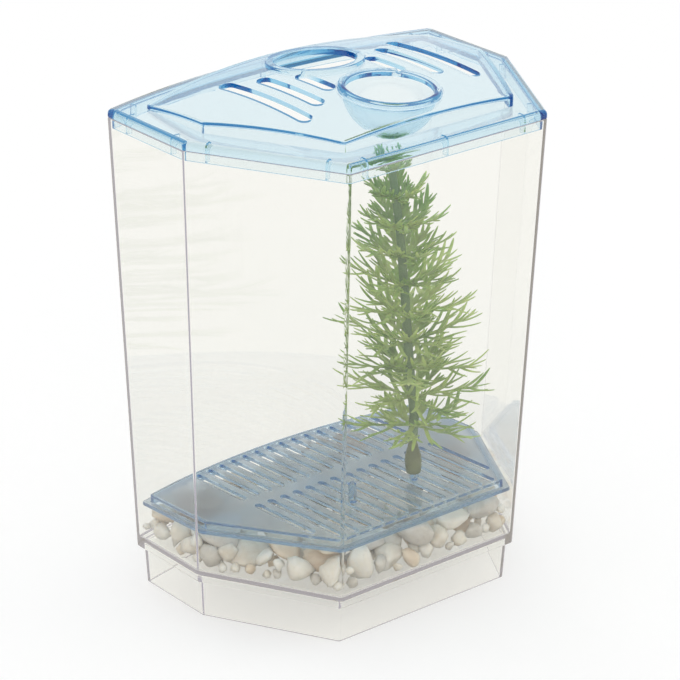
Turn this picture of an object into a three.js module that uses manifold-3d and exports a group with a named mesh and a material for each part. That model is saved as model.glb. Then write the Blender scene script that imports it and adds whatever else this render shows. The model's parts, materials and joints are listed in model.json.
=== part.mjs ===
// Fish breeding box: a tapered six-sided clear tank on an inset base, closed by a domed lid that
// carries vent slots, an open hole at the back and a lift-out feeding cup at the front. Inside, a
// slotted plate lies on loose pebbles and holds a moulded water plant on one of its two pegs.
//
// Frame: millimetres, +Z up. The origin lies on the ground below the middle of the rim's box, the
// long bowed wall is at +Y and the short front wall at -Y.

import * as THREE from 'three';
import { mergeVertices } from 'three/addons/utils/BufferGeometryUtils.js';
import manifoldModule from 'manifold-3d';

const wasm = await manifoldModule();
wasm.setup();

// Tank
const RIM_HEIGHT = 186.6;
const BACK_WIDTH = 153.1;
const FRONT_WIDTH = 91.8;
const TANK_DEPTH = 109.5;
const SIDE_DEPTH = 44.4;
const BACK_BOW = 11.0;
const BACK_STEPS = 12;
const WALL = 1.6;
const TAPER = 6.3;
const STEP_HEIGHT = 15.3;
const STEP_LEDGE = 2.1;
const BASE_DRAFT = 0.8;
const FLOOR_TOP = 19.3;
const FLOOR_THICKNESS = 2.0;
const TANK_CORNER = 1.6;

// Lid
const LID_EDGE_HEIGHT = 3.4;
const LID_EDGE_RADIUS = 2.0;
const LID_THICKNESS = 1.7;
const PLUG_CLEARANCE = 0.3;
const PLUG_THICKNESS = 1.2;
const PLUG_DEPTH = 3.9;
const PLUG_RIB_THICKNESS = 0.9;
const PLUG_RIB_DEPTH = 2.2;
const PLUG_RIB_FROM_CORNER = 7.5;
const LEDGE_WIDTH = 11.0;
const PANEL_CORNER = 2.4;
const PANEL_EDGE_RADIUS = 0.9;
const DOME_HEIGHT = 9.6;
const DOME_RADIUS_X = 387.0;
const DOME_RADIUS_Y = 240.0;
const DOME_CENTRE_Y = -1.9;
const DOME_RING_SHARES = [0.7, 0.36];

// Vent slots: the outer pair is the longest
const VENT_WIDTH = 5.7;
const VENT_FIRST_X = 16.3;
const VENT_PITCH = 11.4;
const VENT_MIDDLE_Y = 0.2;
const VENT_LONGEST = 49.5;
const VENT_LENGTH_SHARES = [0.4, 0.71, 1.0];

// Rear hole
const HOLE_RADIUS = 15.5;
const HOLE_Y = 20.3;
const COLLAR_WIDTH = 2.9;
const COLLAR_HEIGHT = 0.6;

// Feeding cup and its seat in the lid
const CUP_Y = -21.5;
const CUP_INNER_RADIUS = 16.0;
const CUP_WALL = 1.2;
const CUP_CLEARANCE = 0.35;
const CUP_FLANGE_OVERLAP = 1.3;
const CUP_FLANGE_THICKNESS = 0.8;
const CUP_SEAT_MARGIN = 0.6;
const CUP_SEAT_DEPTH = 0.75;
const CUP_LIP_WIDTH = 1.8;
const CUP_LIP_HEIGHT = 1.6;
const CUP_LIP_CENTRE = THREE.MathUtils.degToRad(218);
const CUP_LIP_SWEEP = THREE.MathUtils.degToRad(205);
const CUP_NOTCH_RADIUS = 1.5;

// Slotted plate
const PLATE_CENTRE_HEIGHT = 38.5;
const PLATE_TILT = THREE.MathUtils.degToRad(3.3);
const PLATE_SHIFT_X = 0.8;
const PLATE_SHIFT_Y = 0.7;
const PLATE_CLEARANCE = 1.4;
const PLATE_THICKNESS = 1.4;
const PLATE_RISE = 4.2;
const FLANGE_WIDTH = 2.4;
const PLATE_CORNER = 1.2;
const SLOT_COUNT = 15;
const SLOT_PITCH = 6.04;
const SLOT_WIDTH = 2.8;
const SPINE_WIDTH = 6.4;
const SPINE_Y = 4.6;
const SLOT_END_MARGIN = 0.5;
const PEG_RADIUS = 1.55;
const PEG_HEIGHT = 7.8;
const PEG_X = 15.0;
const PEG_Y = -20.9;
const PEG_EDGE = 0.5;

// Plant: bulb foot, stem and ten leaf whorls
const FOOT_STAND = 3.1;
const FOOT_LENGTH = 13.6;
const FOOT_RADIUS = 3.2;
const FOOT_PROFILE_SHARES = [
  [0.0, 0.9],
  [0.15, 0.98],
  [0.38, 1.0],
  [0.62, 0.84],
  [0.82, 0.64],
  [1.0, 0.6],
];
const FOOT_SOCKET_DEPTH = 5.0;
const STEM_RADIUS = 1.5;
const PLANT_HEADROOM = 6.1;
const STEM_SPIGOT_RADIUS = 0.9;
const STEM_SPIGOT_LENGTH = 3.6;
const STEM_BEND = 6.4;
const STEM_BEND_SHARES = [0.0, 0.14, 0.13, 0.04, -0.06, -0.2, -0.37, -0.6, -0.9];
const WHORL_COUNT = 10;
const FIRST_WHORL_HEIGHT = 22.1;
const LEAF_CLEARANCE = 1.4;
const WHORL_REACH_SHARES = [0.9, 1.0, 1.0, 1.0, 0.97, 0.88, 0.79, 0.68, 0.52, 0.36];
const WHORL_RISE_SHARES = [-0.16, 0.03, 0.15, 0.22, 0.26, 0.3, 0.32, 0.34, 0.34, 0.34];
const TIP_RISE_SHARE = 0.4;
const WHORL_BRANCHES = 6;
const WHORL_TURN = THREE.MathUtils.degToRad(42);
const HUB_WALL = 0.8;
const HUB_HEIGHT = 2.6;
const LEAF_WIDTH = 1.9;
const LEAF_THICKNESS = 0.9;
const FORK_SHARES = [0.34, 0.56, 0.76];
const FORK_LENGTH_SHARE = 0.32;
const FORK_ROOT_SHARE = 0.09;
const FORK_SPREAD = THREE.MathUtils.degToRad(34);
const FORK_LIFT_SHARES = [0.25, -0.1, 0.2];

// Pebbles
const PEBBLE_COUNT = 45;
const PEBBLE_GAP = 0.3;
const PEBBLE_LENGTH = 19.0;
const PEBBLE_LENGTH_SHARES = [0.68, 1.0];
const PEBBLE_WIDTH_SHARES = [0.7, 0.9];
const PEBBLE_HEIGHT_SHARES = [0.52, 0.72];
const PEBBLE_DENT_SHARE = 0.09;
const PEBBLE_GRID = 0.7;
const PEBBLE_TRIES = 900;
const PEBBLE_TURNS = 6;
const PEBBLE_SEED = 20;
const WALL_BAND = 16.0;
const WALL_PEBBLES = 35;
const FINE_PEBBLES = 9;
const PLATE_CARRIERS = 5;

// The gap between pieces that seat or turn on each other, and how far cuts run past a face
const FIT_GAP = 0.3;
const OVERRUN = 2.0;
const EPSILON = 1e-6;

// Outlines

// The back wall is an arc about a centre on the middle line.
const backRadius = (BACK_WIDTH ** 2 / 4 + BACK_BOW ** 2) / (2 * BACK_BOW);
const backCentreY = TANK_DEPTH / 2 - backRadius;

// The y of the back wall at an x, with the wall moved in by inset.
function backAt(x, inset) {
  return backCentreY + Math.sqrt((backRadius - inset) ** 2 - x * x);
}

// The rim's six corners with every wall moved in by inset, counter-clockwise from the back left.
function hexagon(inset) {
  const front = TANK_DEPTH / 2;
  const half = BACK_WIDTH / 2;
  const sideEnd = new THREE.Vector2(half, front - BACK_BOW - SIDE_DEPTH);
  const frontEnd = new THREE.Vector2(FRONT_WIDTH / 2, -front);
  const along = frontEnd.clone().sub(sideEnd).normalize();
  const normal = new THREE.Vector2(-along.y, along.x);
  const reach = normal.dot(sideEnd) - inset;
  const x = half - inset;
  const frontY = inset - front;
  const sideY = (reach - normal.x * x) / normal.y;
  const frontX = (reach - normal.y * frontY) / normal.x;
  return [
    [-x, backAt(x, inset)],
    [-x, sideY],
    [-frontX, frontY],
    [frontX, frontY],
    [x, sideY],
    [x, backAt(x, inset)],
  ].map(([px, py]) => new THREE.Vector2(px, py));
}

// The outline with every wall moved in by inset and its six corners rounded. The straight sides
// are cut into equal steps, and the bowed back wall into steps of equal width.
function outline(inset, radius, cornerSteps, sideSteps = 1) {
  const corners = hexagon(inset);
  const half = corners[0].x;
  const arc = [];
  for (let k = 1; k < BACK_STEPS; k += 1) {
    const x = half * ((2 * k) / BACK_STEPS - 1);
    arc.push(new THREE.Vector2(x, backAt(x, inset)));
  }
  const path = [...corners, ...arc];
  const points = [];
  let lastEnd = null;
  corners.forEach((corner, i) => {
    const toLast = path[(i + path.length - 1) % path.length].clone().sub(corner).normalize();
    const toNext = path[i + 1].clone().sub(corner).normalize();
    const halfAngle = Math.acos(toLast.dot(toNext)) / 2;
    const middle = toLast.clone().add(toNext).normalize();
    const centre = corner.clone().addScaledVector(middle, radius / Math.sin(halfAngle));
    const sweep = Math.PI - 2 * halfAngle;
    const start = Math.atan2(-middle.y, -middle.x) - sweep / 2;
    for (let k = 0; k <= cornerSteps; k += 1) {
      const angle = start + (sweep * k) / cornerSteps;
      const spoke = new THREE.Vector2(Math.cos(angle), Math.sin(angle));
      const point = centre.clone().addScaledVector(spoke, radius);
      if (k === 0 && lastEnd) {
        for (let j = 1; j < sideSteps; j += 1) {
          points.push(lastEnd.clone().lerp(point, j / sideSteps));
        }
      }
      points.push(point);
      lastEnd = point;
    }
  });
  return [...points, ...arc];
}

function ring(points, height) {
  return points.map((p) => {
    const z = typeof height === 'function' ? height(p.x, p.y) : height;
    return new THREE.Vector3(p.x, p.y, z);
  });
}

function tankRing(inset, height, radius = TANK_CORNER) {
  return ring(outline(inset, radius, 3), height);
}

// How far the tank's outer face has leaned in at a height.
function leanAt(height) {
  return (TAPER * (RIM_HEIGHT - height)) / (RIM_HEIGHT - STEP_HEIGHT);
}

// Solids

function closedMesh(points, faces) {
  const geometry = new THREE.BufferGeometry();
  const flat = points.flatMap((p) => p.toArray());
  geometry.setAttribute('position', new THREE.Float32BufferAttribute(flat, 3));
  geometry.setIndex(faces.flat());
  return geometry;
}

// Rings of equal count stacked from the bottom up, closed at both ends, or ending in a point.
function loft(rings, tip = null) {
  const count = rings[0].length;
  const points = rings.flat();
  const faces = [];
  for (let i = 0; i + 1 < rings.length; i += 1) {
    for (let j = 0; j < count; j += 1) {
      const a = i * count + j;
      const b = i * count + ((j + 1) % count);
      faces.push([a, b, b + count], [a, b + count, a + count]);
    }
  }
  const top = (rings.length - 1) * count;
  for (let j = 1; j + 1 < count; j += 1) {
    faces.push([0, j + 1, j]);
    if (!tip) {
      faces.push([top, top + j, top + j + 1]);
    }
  }
  if (tip) {
    points.push(tip);
    for (let j = 0; j < count; j += 1) {
      faces.push([top + j, top + ((j + 1) % count), points.length - 1]);
    }
  }
  return closedMesh(points, faces);
}

function toSolid(source) {
  let geometry = source.clone();
  geometry.deleteAttribute('normal');
  geometry.deleteAttribute('uv');
  geometry = mergeVertices(geometry, EPSILON);
  const triangles = [];
  const index = geometry.index.array;
  for (let i = 0; i < index.length; i += 3) {
    const [a, b, c] = [index[i], index[i + 1], index[i + 2]];
    if (a !== b && b !== c && c !== a) {
      triangles.push(a, b, c);
    }
  }
  return new wasm.Manifold(
    new wasm.Mesh({
      numProp: 3,
      vertProperties: new Float32Array(geometry.attributes.position.array),
      triVerts: new Uint32Array(triangles),
    }),
  );
}

function toGeometry(solid) {
  const { vertProperties, triVerts, numProp } = solid.getMesh();
  const geometry = new THREE.BufferGeometry();
  const positions = new Float32Array((vertProperties.length / numProp) * 3);
  for (let i = 0; i < positions.length / 3; i += 1) {
    positions.set(vertProperties.subarray(i * numProp, i * numProp + 3), i * 3);
  }
  geometry.setAttribute('position', new THREE.BufferAttribute(positions, 3));
  geometry.setIndex(Array.from(triVerts));
  return geometry;
}

function join(parts) {
  return parts.reduce((whole, part) => whole.add(part));
}

// A profile of [radius, height] pairs turned about +Z.
function turned(profile, segments) {
  const points = profile.map(([r, z]) => new THREE.Vector2(r, z));
  const geometry = new THREE.LatheGeometry(points, segments);
  geometry.rotateX(Math.PI / 2);
  return geometry;
}

function upright(radius, bottom, top, segments) {
  return turned([[0, bottom], [radius, bottom], [radius, top], [0, top]], segments);
}

// A round bore's flats touch its circle, so that a pin of the same count of sides turns in it.
function bore(radius, bottom, top, segments) {
  return toSolid(upright(radius / Math.cos(Math.PI / segments), bottom, top, segments));
}

// An upright slot with round ends, from y0 to y1.
function slot(x, y0, y1, width, bottom, top, curveSegments) {
  const radius = width / 2;
  const shape = new THREE.Shape();
  shape.absarc(x, y1 - radius, radius, 0, Math.PI, false);
  shape.absarc(x, y0 + radius, radius, Math.PI, 2 * Math.PI, false);
  shape.closePath();
  const geometry = new THREE.ExtrudeGeometry(shape, {
    depth: top - bottom,
    bevelEnabled: false,
    curveSegments,
  });
  geometry.translate(0, 0, bottom);
  return toSolid(geometry);
}

function material(color, roughness, opacity) {
  return new THREE.MeshStandardMaterial({
    color,
    roughness,
    metalness: 0,
    transparent: opacity < 1,
    opacity,
  });
}

const CLEAR = material('#e9e7e4', 0.06, 0.3);
const LID_BLUE = material('#a9d3f2', 0.06, 0.4);
const PLATE_BLUE = material('#8fa9bd', 0.08, 0.5);
const LEAF_GREEN = material('#6f9150', 0.5, 1);
const STEM_GREEN = material('#55684c', 0.5, 1);
const FOOT_OLIVE = material('#66704a', 0.5, 1);
const PEBBLE_COLOURS = ['#d9d4c8', '#cfc6b6', '#e3ded2', '#bdb6a8', '#c9a98a', '#d4cdbf', '#a99f8f'];

const box = new THREE.Group();
const plateFrame = new THREE.Group();
plateFrame.position.set(PLATE_SHIFT_X, PLATE_SHIFT_Y, PLATE_CENTRE_HEIGHT);
plateFrame.rotation.x = -PLATE_TILT;
box.add(plateFrame);

function piece(name, geometry, look, parent = box) {
  const mesh = new THREE.Mesh(geometry, look);
  mesh.name = name;
  parent.add(mesh);
  return mesh;
}

// Tank: shell, step and hollow base in one moulding

const stepInset = TAPER + STEP_LEDGE;
const footInset = stepInset + BASE_DRAFT;
const floorUnder = FLOOR_TOP - FLOOR_THICKNESS;

const tankOutside = toSolid(loft([
  tankRing(footInset, 0),
  tankRing(stepInset, STEP_HEIGHT),
  tankRing(TAPER, STEP_HEIGHT),
  tankRing(0, RIM_HEIGHT),
]));
const innerCorner = TANK_CORNER / 2;
const tankInside = toSolid(loft([
  tankRing(leanAt(FLOOR_TOP) + WALL, FLOOR_TOP, innerCorner),
  tankRing(leanAt(RIM_HEIGHT + OVERRUN) + WALL, RIM_HEIGHT + OVERRUN, innerCorner),
]));
const baseSlope = BASE_DRAFT / STEP_HEIGHT;
const baseInside = toSolid(loft([
  tankRing(footInset + WALL + baseSlope * OVERRUN, -OVERRUN, innerCorner),
  tankRing(stepInset + WALL - baseSlope * (floorUnder - STEP_HEIGHT), floorUnder, innerCorner),
]));
const tank = tankOutside.subtract(tankInside).subtract(baseInside);
piece('tank', toGeometry(tank), CLEAR);

// Lid

const lidTop = RIM_HEIGHT + LID_EDGE_HEIGHT;
const ledgeUnder = lidTop - LID_THICKNESS;
const domeTop = lidTop + DOME_HEIGHT;

// The dome's outer surface: a shallow bowl upside down, flatter from side to side.
function domeAt(x, y) {
  const fromMiddle = y - DOME_CENTRE_Y;
  const drop = (x * x) / DOME_RADIUS_X + (fromMiddle * fromMiddle) / DOME_RADIUS_Y;
  return domeTop - drop / 2;
}

// A raised hexagonal panel whose top follows the dome, lowered by drop, with a round upper edge.
function domedPanel(inset, bottom, drop, corner, edge) {
  const edgeAt = (extra) => outline(inset + extra, corner, 2, 3);
  const rings = [ring(edgeAt(0), bottom)];
  for (let k = 0; k <= 3; k += 1) {
    const angle = (Math.PI / 2) * (k / 3);
    const inward = edge * (1 - Math.cos(angle));
    const lower = edge * (1 - Math.sin(angle));
    rings.push(ring(edgeAt(inward), (x, y) => domeAt(x, y) - drop - lower));
  }
  const last = edgeAt(edge);
  for (const share of DOME_RING_SHARES) {
    const inner = last.map((p) => new THREE.Vector2(p.x * share, p.y * share));
    rings.push(ring(inner, (x, y) => domeAt(x, y) - drop));
  }
  return toSolid(loft(rings, new THREE.Vector3(0, 0, domeAt(0, 0) - drop)));
}

function filletRings(outerInset, radius, top) {
  const rings = [];
  for (let k = 0; k <= 3; k += 1) {
    const angle = (Math.PI / 2) * (k / 3);
    const inset = outerInset + radius * (1 - Math.cos(angle));
    rings.push(tankRing(inset, top - radius * (1 - Math.sin(angle)), TANK_CORNER));
  }
  return rings;
}

const plugBottom = RIM_HEIGHT - PLUG_DEPTH;
const plugTopInset = WALL + PLUG_CLEARANCE;
const plugBottomInset = leanAt(plugBottom) + WALL + PLUG_CLEARANCE;
const plugInnerInset = plugTopInset + PLUG_THICKNESS;

const cap = toSolid(loft([tankRing(0, RIM_HEIGHT), ...filletRings(0, LID_EDGE_RADIUS, lidTop)]));
const plug = toSolid(loft([
  tankRing(plugBottomInset, plugBottom, innerCorner),
  tankRing(plugTopInset, RIM_HEIGHT, innerCorner),
  tankRing(plugTopInset, ledgeUnder, innerCorner),
]));
const lidHollow = toSolid(loft([
  tankRing(plugInnerInset, plugBottom - OVERRUN, innerCorner),
  tankRing(plugInnerInset, ledgeUnder, innerCorner),
]));

const panelInnerInset = LEDGE_WIDTH + LID_THICKNESS;
const panel = domedPanel(LEDGE_WIDTH, ledgeUnder, 0, PANEL_CORNER, PANEL_EDGE_RADIUS);
const panelHollow = domedPanel(
  panelInnerInset,
  ledgeUnder - OVERRUN,
  LID_THICKNESS,
  PANEL_CORNER / 2,
  PANEL_EDGE_RADIUS / 2,
);

// A frame that lies on the dome at a place on the middle line, leaning with the surface.
function onDome(y) {
  const lean = -Math.atan((y - DOME_CENTRE_Y) / DOME_RADIUS_Y);
  const frame = new THREE.Object3D();
  frame.position.set(0, y, domeAt(0, y));
  frame.rotation.x = lean;
  frame.updateMatrix();
  return frame;
}

const holeFrame = onDome(HOLE_Y);
const cupFrame = onDome(CUP_Y);

function placed(geometry, frame) {
  return toSolid(geometry.clone().applyMatrix4(frame.matrix));
}

const collarOuter = HOLE_RADIUS + COLLAR_WIDTH;
const collarEdge = COLLAR_WIDTH / 3;
const collar = placed(
  turned(
    [
      [0, -LID_THICKNESS],
      [collarOuter, -LID_THICKNESS],
      [collarOuter, 0],
      [collarOuter - collarEdge, COLLAR_HEIGHT],
      [0, COLLAR_HEIGHT],
    ],
    32,
  ),
  holeFrame,
);
const rearHole = placed(
  upright(HOLE_RADIUS, -LID_THICKNESS - OVERRUN, COLLAR_HEIGHT + OVERRUN, 32),
  holeFrame,
);

const cupOuter = CUP_INNER_RADIUS + CUP_WALL;
const cupHoleRadius = cupOuter + CUP_CLEARANCE;
const flangeRadius = cupHoleRadius + CUP_FLANGE_OVERLAP;
const seatRadius = flangeRadius + CUP_SEAT_MARGIN;
const seat = placed(upright(seatRadius, -CUP_SEAT_DEPTH, OVERRUN, 32), cupFrame);
const cupHole = placed(upright(cupHoleRadius, -LID_THICKNESS - OVERRUN, OVERRUN, 32), cupFrame);

const vents = [];
VENT_LENGTH_SHARES.forEach((share, i) => {
  for (const side of [-1, 1]) {
    const x = side * (VENT_FIRST_X + i * VENT_PITCH);
    const half = (share * VENT_LONGEST) / 2;
    const y0 = VENT_MIDDLE_Y - half;
    const y1 = VENT_MIDDLE_Y + half;
    vents.push(slot(x, y0, y1, VENT_WIDTH, lidTop, domeTop + OVERRUN, 5));
  }
});

// Small upright ribs that stiffen the plug, near both ends of every wall and midway on long ones.
function plugRibs() {
  const corners = hexagon(plugInnerInset);
  const height = ledgeUnder - plugBottom + LID_THICKNESS / 2;
  const depth = PLUG_RIB_DEPTH + PLUG_THICKNESS / 2;
  const ribAt = (x, y, angle) => {
    const rib = new THREE.BoxGeometry(PLUG_RIB_THICKNESS, depth, height);
    rib.translate(0, depth / 2 - PLUG_THICKNESS / 2, plugBottom + height / 2);
    rib.rotateZ(angle);
    rib.translate(x, y, 0);
    return toSolid(rib);
  };
  const ribs = [];
  corners.slice(0, -1).forEach((corner, i) => {
    const side = corners[i + 1].clone().sub(corner);
    const length = side.length();
    const places = [PLUG_RIB_FROM_CORNER, length - PLUG_RIB_FROM_CORNER];
    if (length > BACK_WIDTH / 2) {
      places.push(length / 2);
    }
    for (const place of places) {
      const at = corner.clone().addScaledVector(side, place / length);
      ribs.push(ribAt(at.x, at.y, Math.atan2(side.y, side.x)));
    }
  });
  const end = corners[5].x - PLUG_RIB_FROM_CORNER;
  for (const x of [-end, 0, end]) {
    const angle = Math.PI - Math.asin(x / (backRadius - plugInnerInset));
    ribs.push(ribAt(x, backAt(x, plugInnerInset), angle));
  }
  return ribs;
}

const lid = join([cap, plug])
  .subtract(lidHollow)
  .add(join(plugRibs()))
  .add(panel)
  .subtract(panelHollow)
  .add(collar.subtract(panelHollow))
  .subtract(rearHole)
  .subtract(seat)
  .subtract(cupHole)
  .subtract(join(vents));
piece('lid', toGeometry(lid), LID_BLUE);

// Feeding cup: bowl, seat flange, finger lip and pouring notch

const flangeBottom = FIT_GAP - CUP_SEAT_DEPTH;
const flangeTop = flangeBottom + CUP_FLANGE_THICKNESS;
const bowlSteps = 5;
const cupProfile = [];
for (let k = 0; k <= bowlSteps; k += 1) {
  const angle = (Math.PI / 2) * (k / bowlSteps);
  cupProfile.push([cupOuter * Math.sin(angle), flangeBottom - cupOuter * Math.cos(angle)]);
}
cupProfile.push([flangeRadius, flangeBottom]);
cupProfile.push([flangeRadius, flangeTop]);
cupProfile.push([CUP_INNER_RADIUS, flangeTop]);
for (let k = bowlSteps; k >= 0; k -= 1) {
  const angle = (Math.PI / 2) * (k / bowlSteps);
  const radius = CUP_INNER_RADIUS * Math.sin(angle);
  cupProfile.push([radius, flangeBottom - CUP_INNER_RADIUS * Math.cos(angle)]);
}

// The lip's section follows an arc round the cup, so its ends are cut square.
function fingerLip() {
  const outer = flangeRadius - CUP_CLEARANCE;
  const inner = outer - CUP_LIP_WIDTH;
  const edge = CUP_LIP_WIDTH / 3;
  const foot = flangeTop - CUP_FLANGE_THICKNESS / 2;
  const top = flangeTop + CUP_LIP_HEIGHT;
  const section = [
    [inner, foot],
    [outer, foot],
    [outer, top - edge],
    [outer - edge, top],
    [inner + edge, top],
    [inner, top - edge],
  ];
  const steps = 18;
  const rings = [];
  for (let k = 0; k <= steps; k += 1) {
    const angle = CUP_LIP_CENTRE - CUP_LIP_SWEEP / 2 + (CUP_LIP_SWEEP * k) / steps;
    rings.push(section.map(([r, z]) => (
      new THREE.Vector3(r * Math.cos(angle), r * Math.sin(angle), z)
    )).reverse());
  }
  return toSolid(loft(rings));
}

const notchAngle = CUP_LIP_CENTRE + Math.PI;
const notch = new THREE.CylinderGeometry(CUP_NOTCH_RADIUS, CUP_NOTCH_RADIUS, flangeRadius, 10);
notch.rotateZ(Math.PI / 2);
notch.translate(flangeRadius, 0, flangeTop + CUP_NOTCH_RADIUS / 3);
notch.rotateZ(notchAngle);
const cup = toSolid(turned(cupProfile, 28)).add(fingerLip()).subtract(toSolid(notch));
const cupMesh = piece('feeding_cup', toGeometry(cup), LID_BLUE);
cupMesh.position.copy(cupFrame.position);
cupMesh.quaternion.copy(cupFrame.quaternion);

// Slotted plate, in its own leaning frame with the top face at zero

const flangeInset = leanAt(PLATE_CENTRE_HEIGHT) + WALL + PLATE_CLEARANCE;
const plateauInset = flangeInset + FLANGE_WIDTH;
const underInset = plateauInset + PLATE_THICKNESS;
const plateBottom = -PLATE_RISE;

function plateRing(inset, height) {
  return ring(outline(inset, PLATE_CORNER, 2), height);
}

function hexagonFront(x, inset) {
  const corners = hexagon(inset);
  const [front, side] = [corners[3], corners[4]];
  if (x <= front.x) {
    return front.y;
  }
  return front.y + ((x - front.x) * (side.y - front.y)) / (side.x - front.x);
}

function plateSlots() {
  const slots = [];
  const limit = underInset + SLOT_END_MARGIN;
  for (let i = 0; i < SLOT_COUNT; i += 1) {
    const x = (i - (SLOT_COUNT - 1) / 2) * SLOT_PITCH;
    const outerEdge = Math.abs(x) + SLOT_WIDTH / 2;
    const front = hexagonFront(outerEdge, limit);
    const back = backAt(outerEdge, limit);
    const rows = [
      [front, SPINE_Y - SPINE_WIDTH / 2],
      [SPINE_Y + SPINE_WIDTH / 2, back],
    ];
    for (const [y0, y1] of rows) {
      slots.push(slot(x, y0, y1, SLOT_WIDTH, -PLATE_THICKNESS - OVERRUN, OVERRUN, 2));
    }
  }
  return slots;
}

function peg(x) {
  const geometry = turned(
    [
      [0, -PLATE_THICKNESS / 2],
      [PEG_RADIUS, -PLATE_THICKNESS / 2],
      [PEG_RADIUS, PEG_HEIGHT - PEG_EDGE],
      [PEG_RADIUS - PEG_EDGE, PEG_HEIGHT],
      [0, PEG_HEIGHT],
    ],
    12,
  );
  geometry.translate(x, PEG_Y, 0);
  return toSolid(geometry);
}

const plate = toSolid(loft([plateRing(plateauInset, plateBottom), plateRing(plateauInset, 0)]))
  .add(toSolid(loft([
    plateRing(flangeInset, plateBottom),
    plateRing(flangeInset, plateBottom + PLATE_THICKNESS),
  ])))
  .subtract(toSolid(loft([
    plateRing(underInset, plateBottom - OVERRUN),
    plateRing(underInset, -PLATE_THICKNESS),
  ])))
  .subtract(join(plateSlots()))
  .add(peg(-PEG_X))
  .add(peg(PEG_X));
piece('slotted_plate', toGeometry(plate), PLATE_BLUE, plateFrame);

// Plant, in the plate's frame, on the right-hand peg

const plantFrame = new THREE.Group();
plantFrame.position.set(PEG_X, PEG_Y, 0);
plateFrame.add(plantFrame);

// The widest whorl stays clear of the tank's front wall, which is nearest to the peg.
const plantHeight = PLATE_CENTRE_HEIGHT + FIRST_WHORL_HEIGHT;
const plantY = PLATE_SHIFT_Y + PEG_Y + FIRST_WHORL_HEIGHT * Math.sin(PLATE_TILT);
const frontWallY = leanAt(plantHeight) + WALL - TANK_DEPTH / 2;
const whorlReach = plantY - frontWallY - LEAF_CLEARANCE;

const footTop = FOOT_STAND + FOOT_LENGTH;
const footProfile = FOOT_PROFILE_SHARES.map(([along, wide]) => (
  [FOOT_RADIUS * wide, FOOT_STAND + FOOT_LENGTH * along]
));
const foot = toSolid(turned([[0, FOOT_STAND], ...footProfile, [0, footTop]], 16))
  .subtract(bore(PEG_RADIUS + FIT_GAP, FOOT_STAND - OVERRUN, FOOT_STAND + FOOT_SOCKET_DEPTH, 12))
  .subtract(bore(
    STEM_SPIGOT_RADIUS + FIT_GAP,
    footTop - STEM_SPIGOT_LENGTH - FIT_GAP,
    footTop + OVERRUN,
    8,
  ));
piece('plant_foot', toGeometry(foot), FOOT_OLIVE, plantFrame);

const stemBottom = footTop + FIT_GAP;

// The plant reaches up to its headroom below the feeding cup, and its whorls share the height.
const pegBaseHeight = PLATE_CENTRE_HEIGHT - PEG_Y * Math.sin(PLATE_TILT);
const cupBottomHeight = cupFrame.position.z + flangeBottom - cupOuter;
const plantTop = cupBottomHeight - PLANT_HEADROOM - pegBaseHeight;
const lastWhorlHeight = plantTop - whorlReach * TIP_RISE_SHARE;
const whorlPitch = (lastWhorlHeight - FIRST_WHORL_HEIGHT) / (WHORL_COUNT - 1);
const stemLength = lastWhorlHeight + HUB_HEIGHT - stemBottom;
const stemCurve = new THREE.CatmullRomCurve3(
  STEM_BEND_SHARES.map((share, i) => {
    const along = i / (STEM_BEND_SHARES.length - 1);
    return new THREE.Vector3(STEM_BEND * share, 0, stemBottom + stemLength * along);
  }),
);
const circle = new THREE.Shape();
circle.absarc(0, 0, STEM_RADIUS, 0, 2 * Math.PI, false);
const stemTube = new THREE.ExtrudeGeometry(circle, {
  steps: 11,
  extrudePath: stemCurve,
  curveSegments: 8,
  bevelEnabled: false,
});
const spigot = upright(STEM_SPIGOT_RADIUS, footTop - STEM_SPIGOT_LENGTH, stemBottom + STEM_RADIUS, 8);
const stem = toSolid(stemTube).add(toSolid(spigot));
piece('plant_stem', toGeometry(stem), STEM_GREEN, plantFrame);

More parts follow.
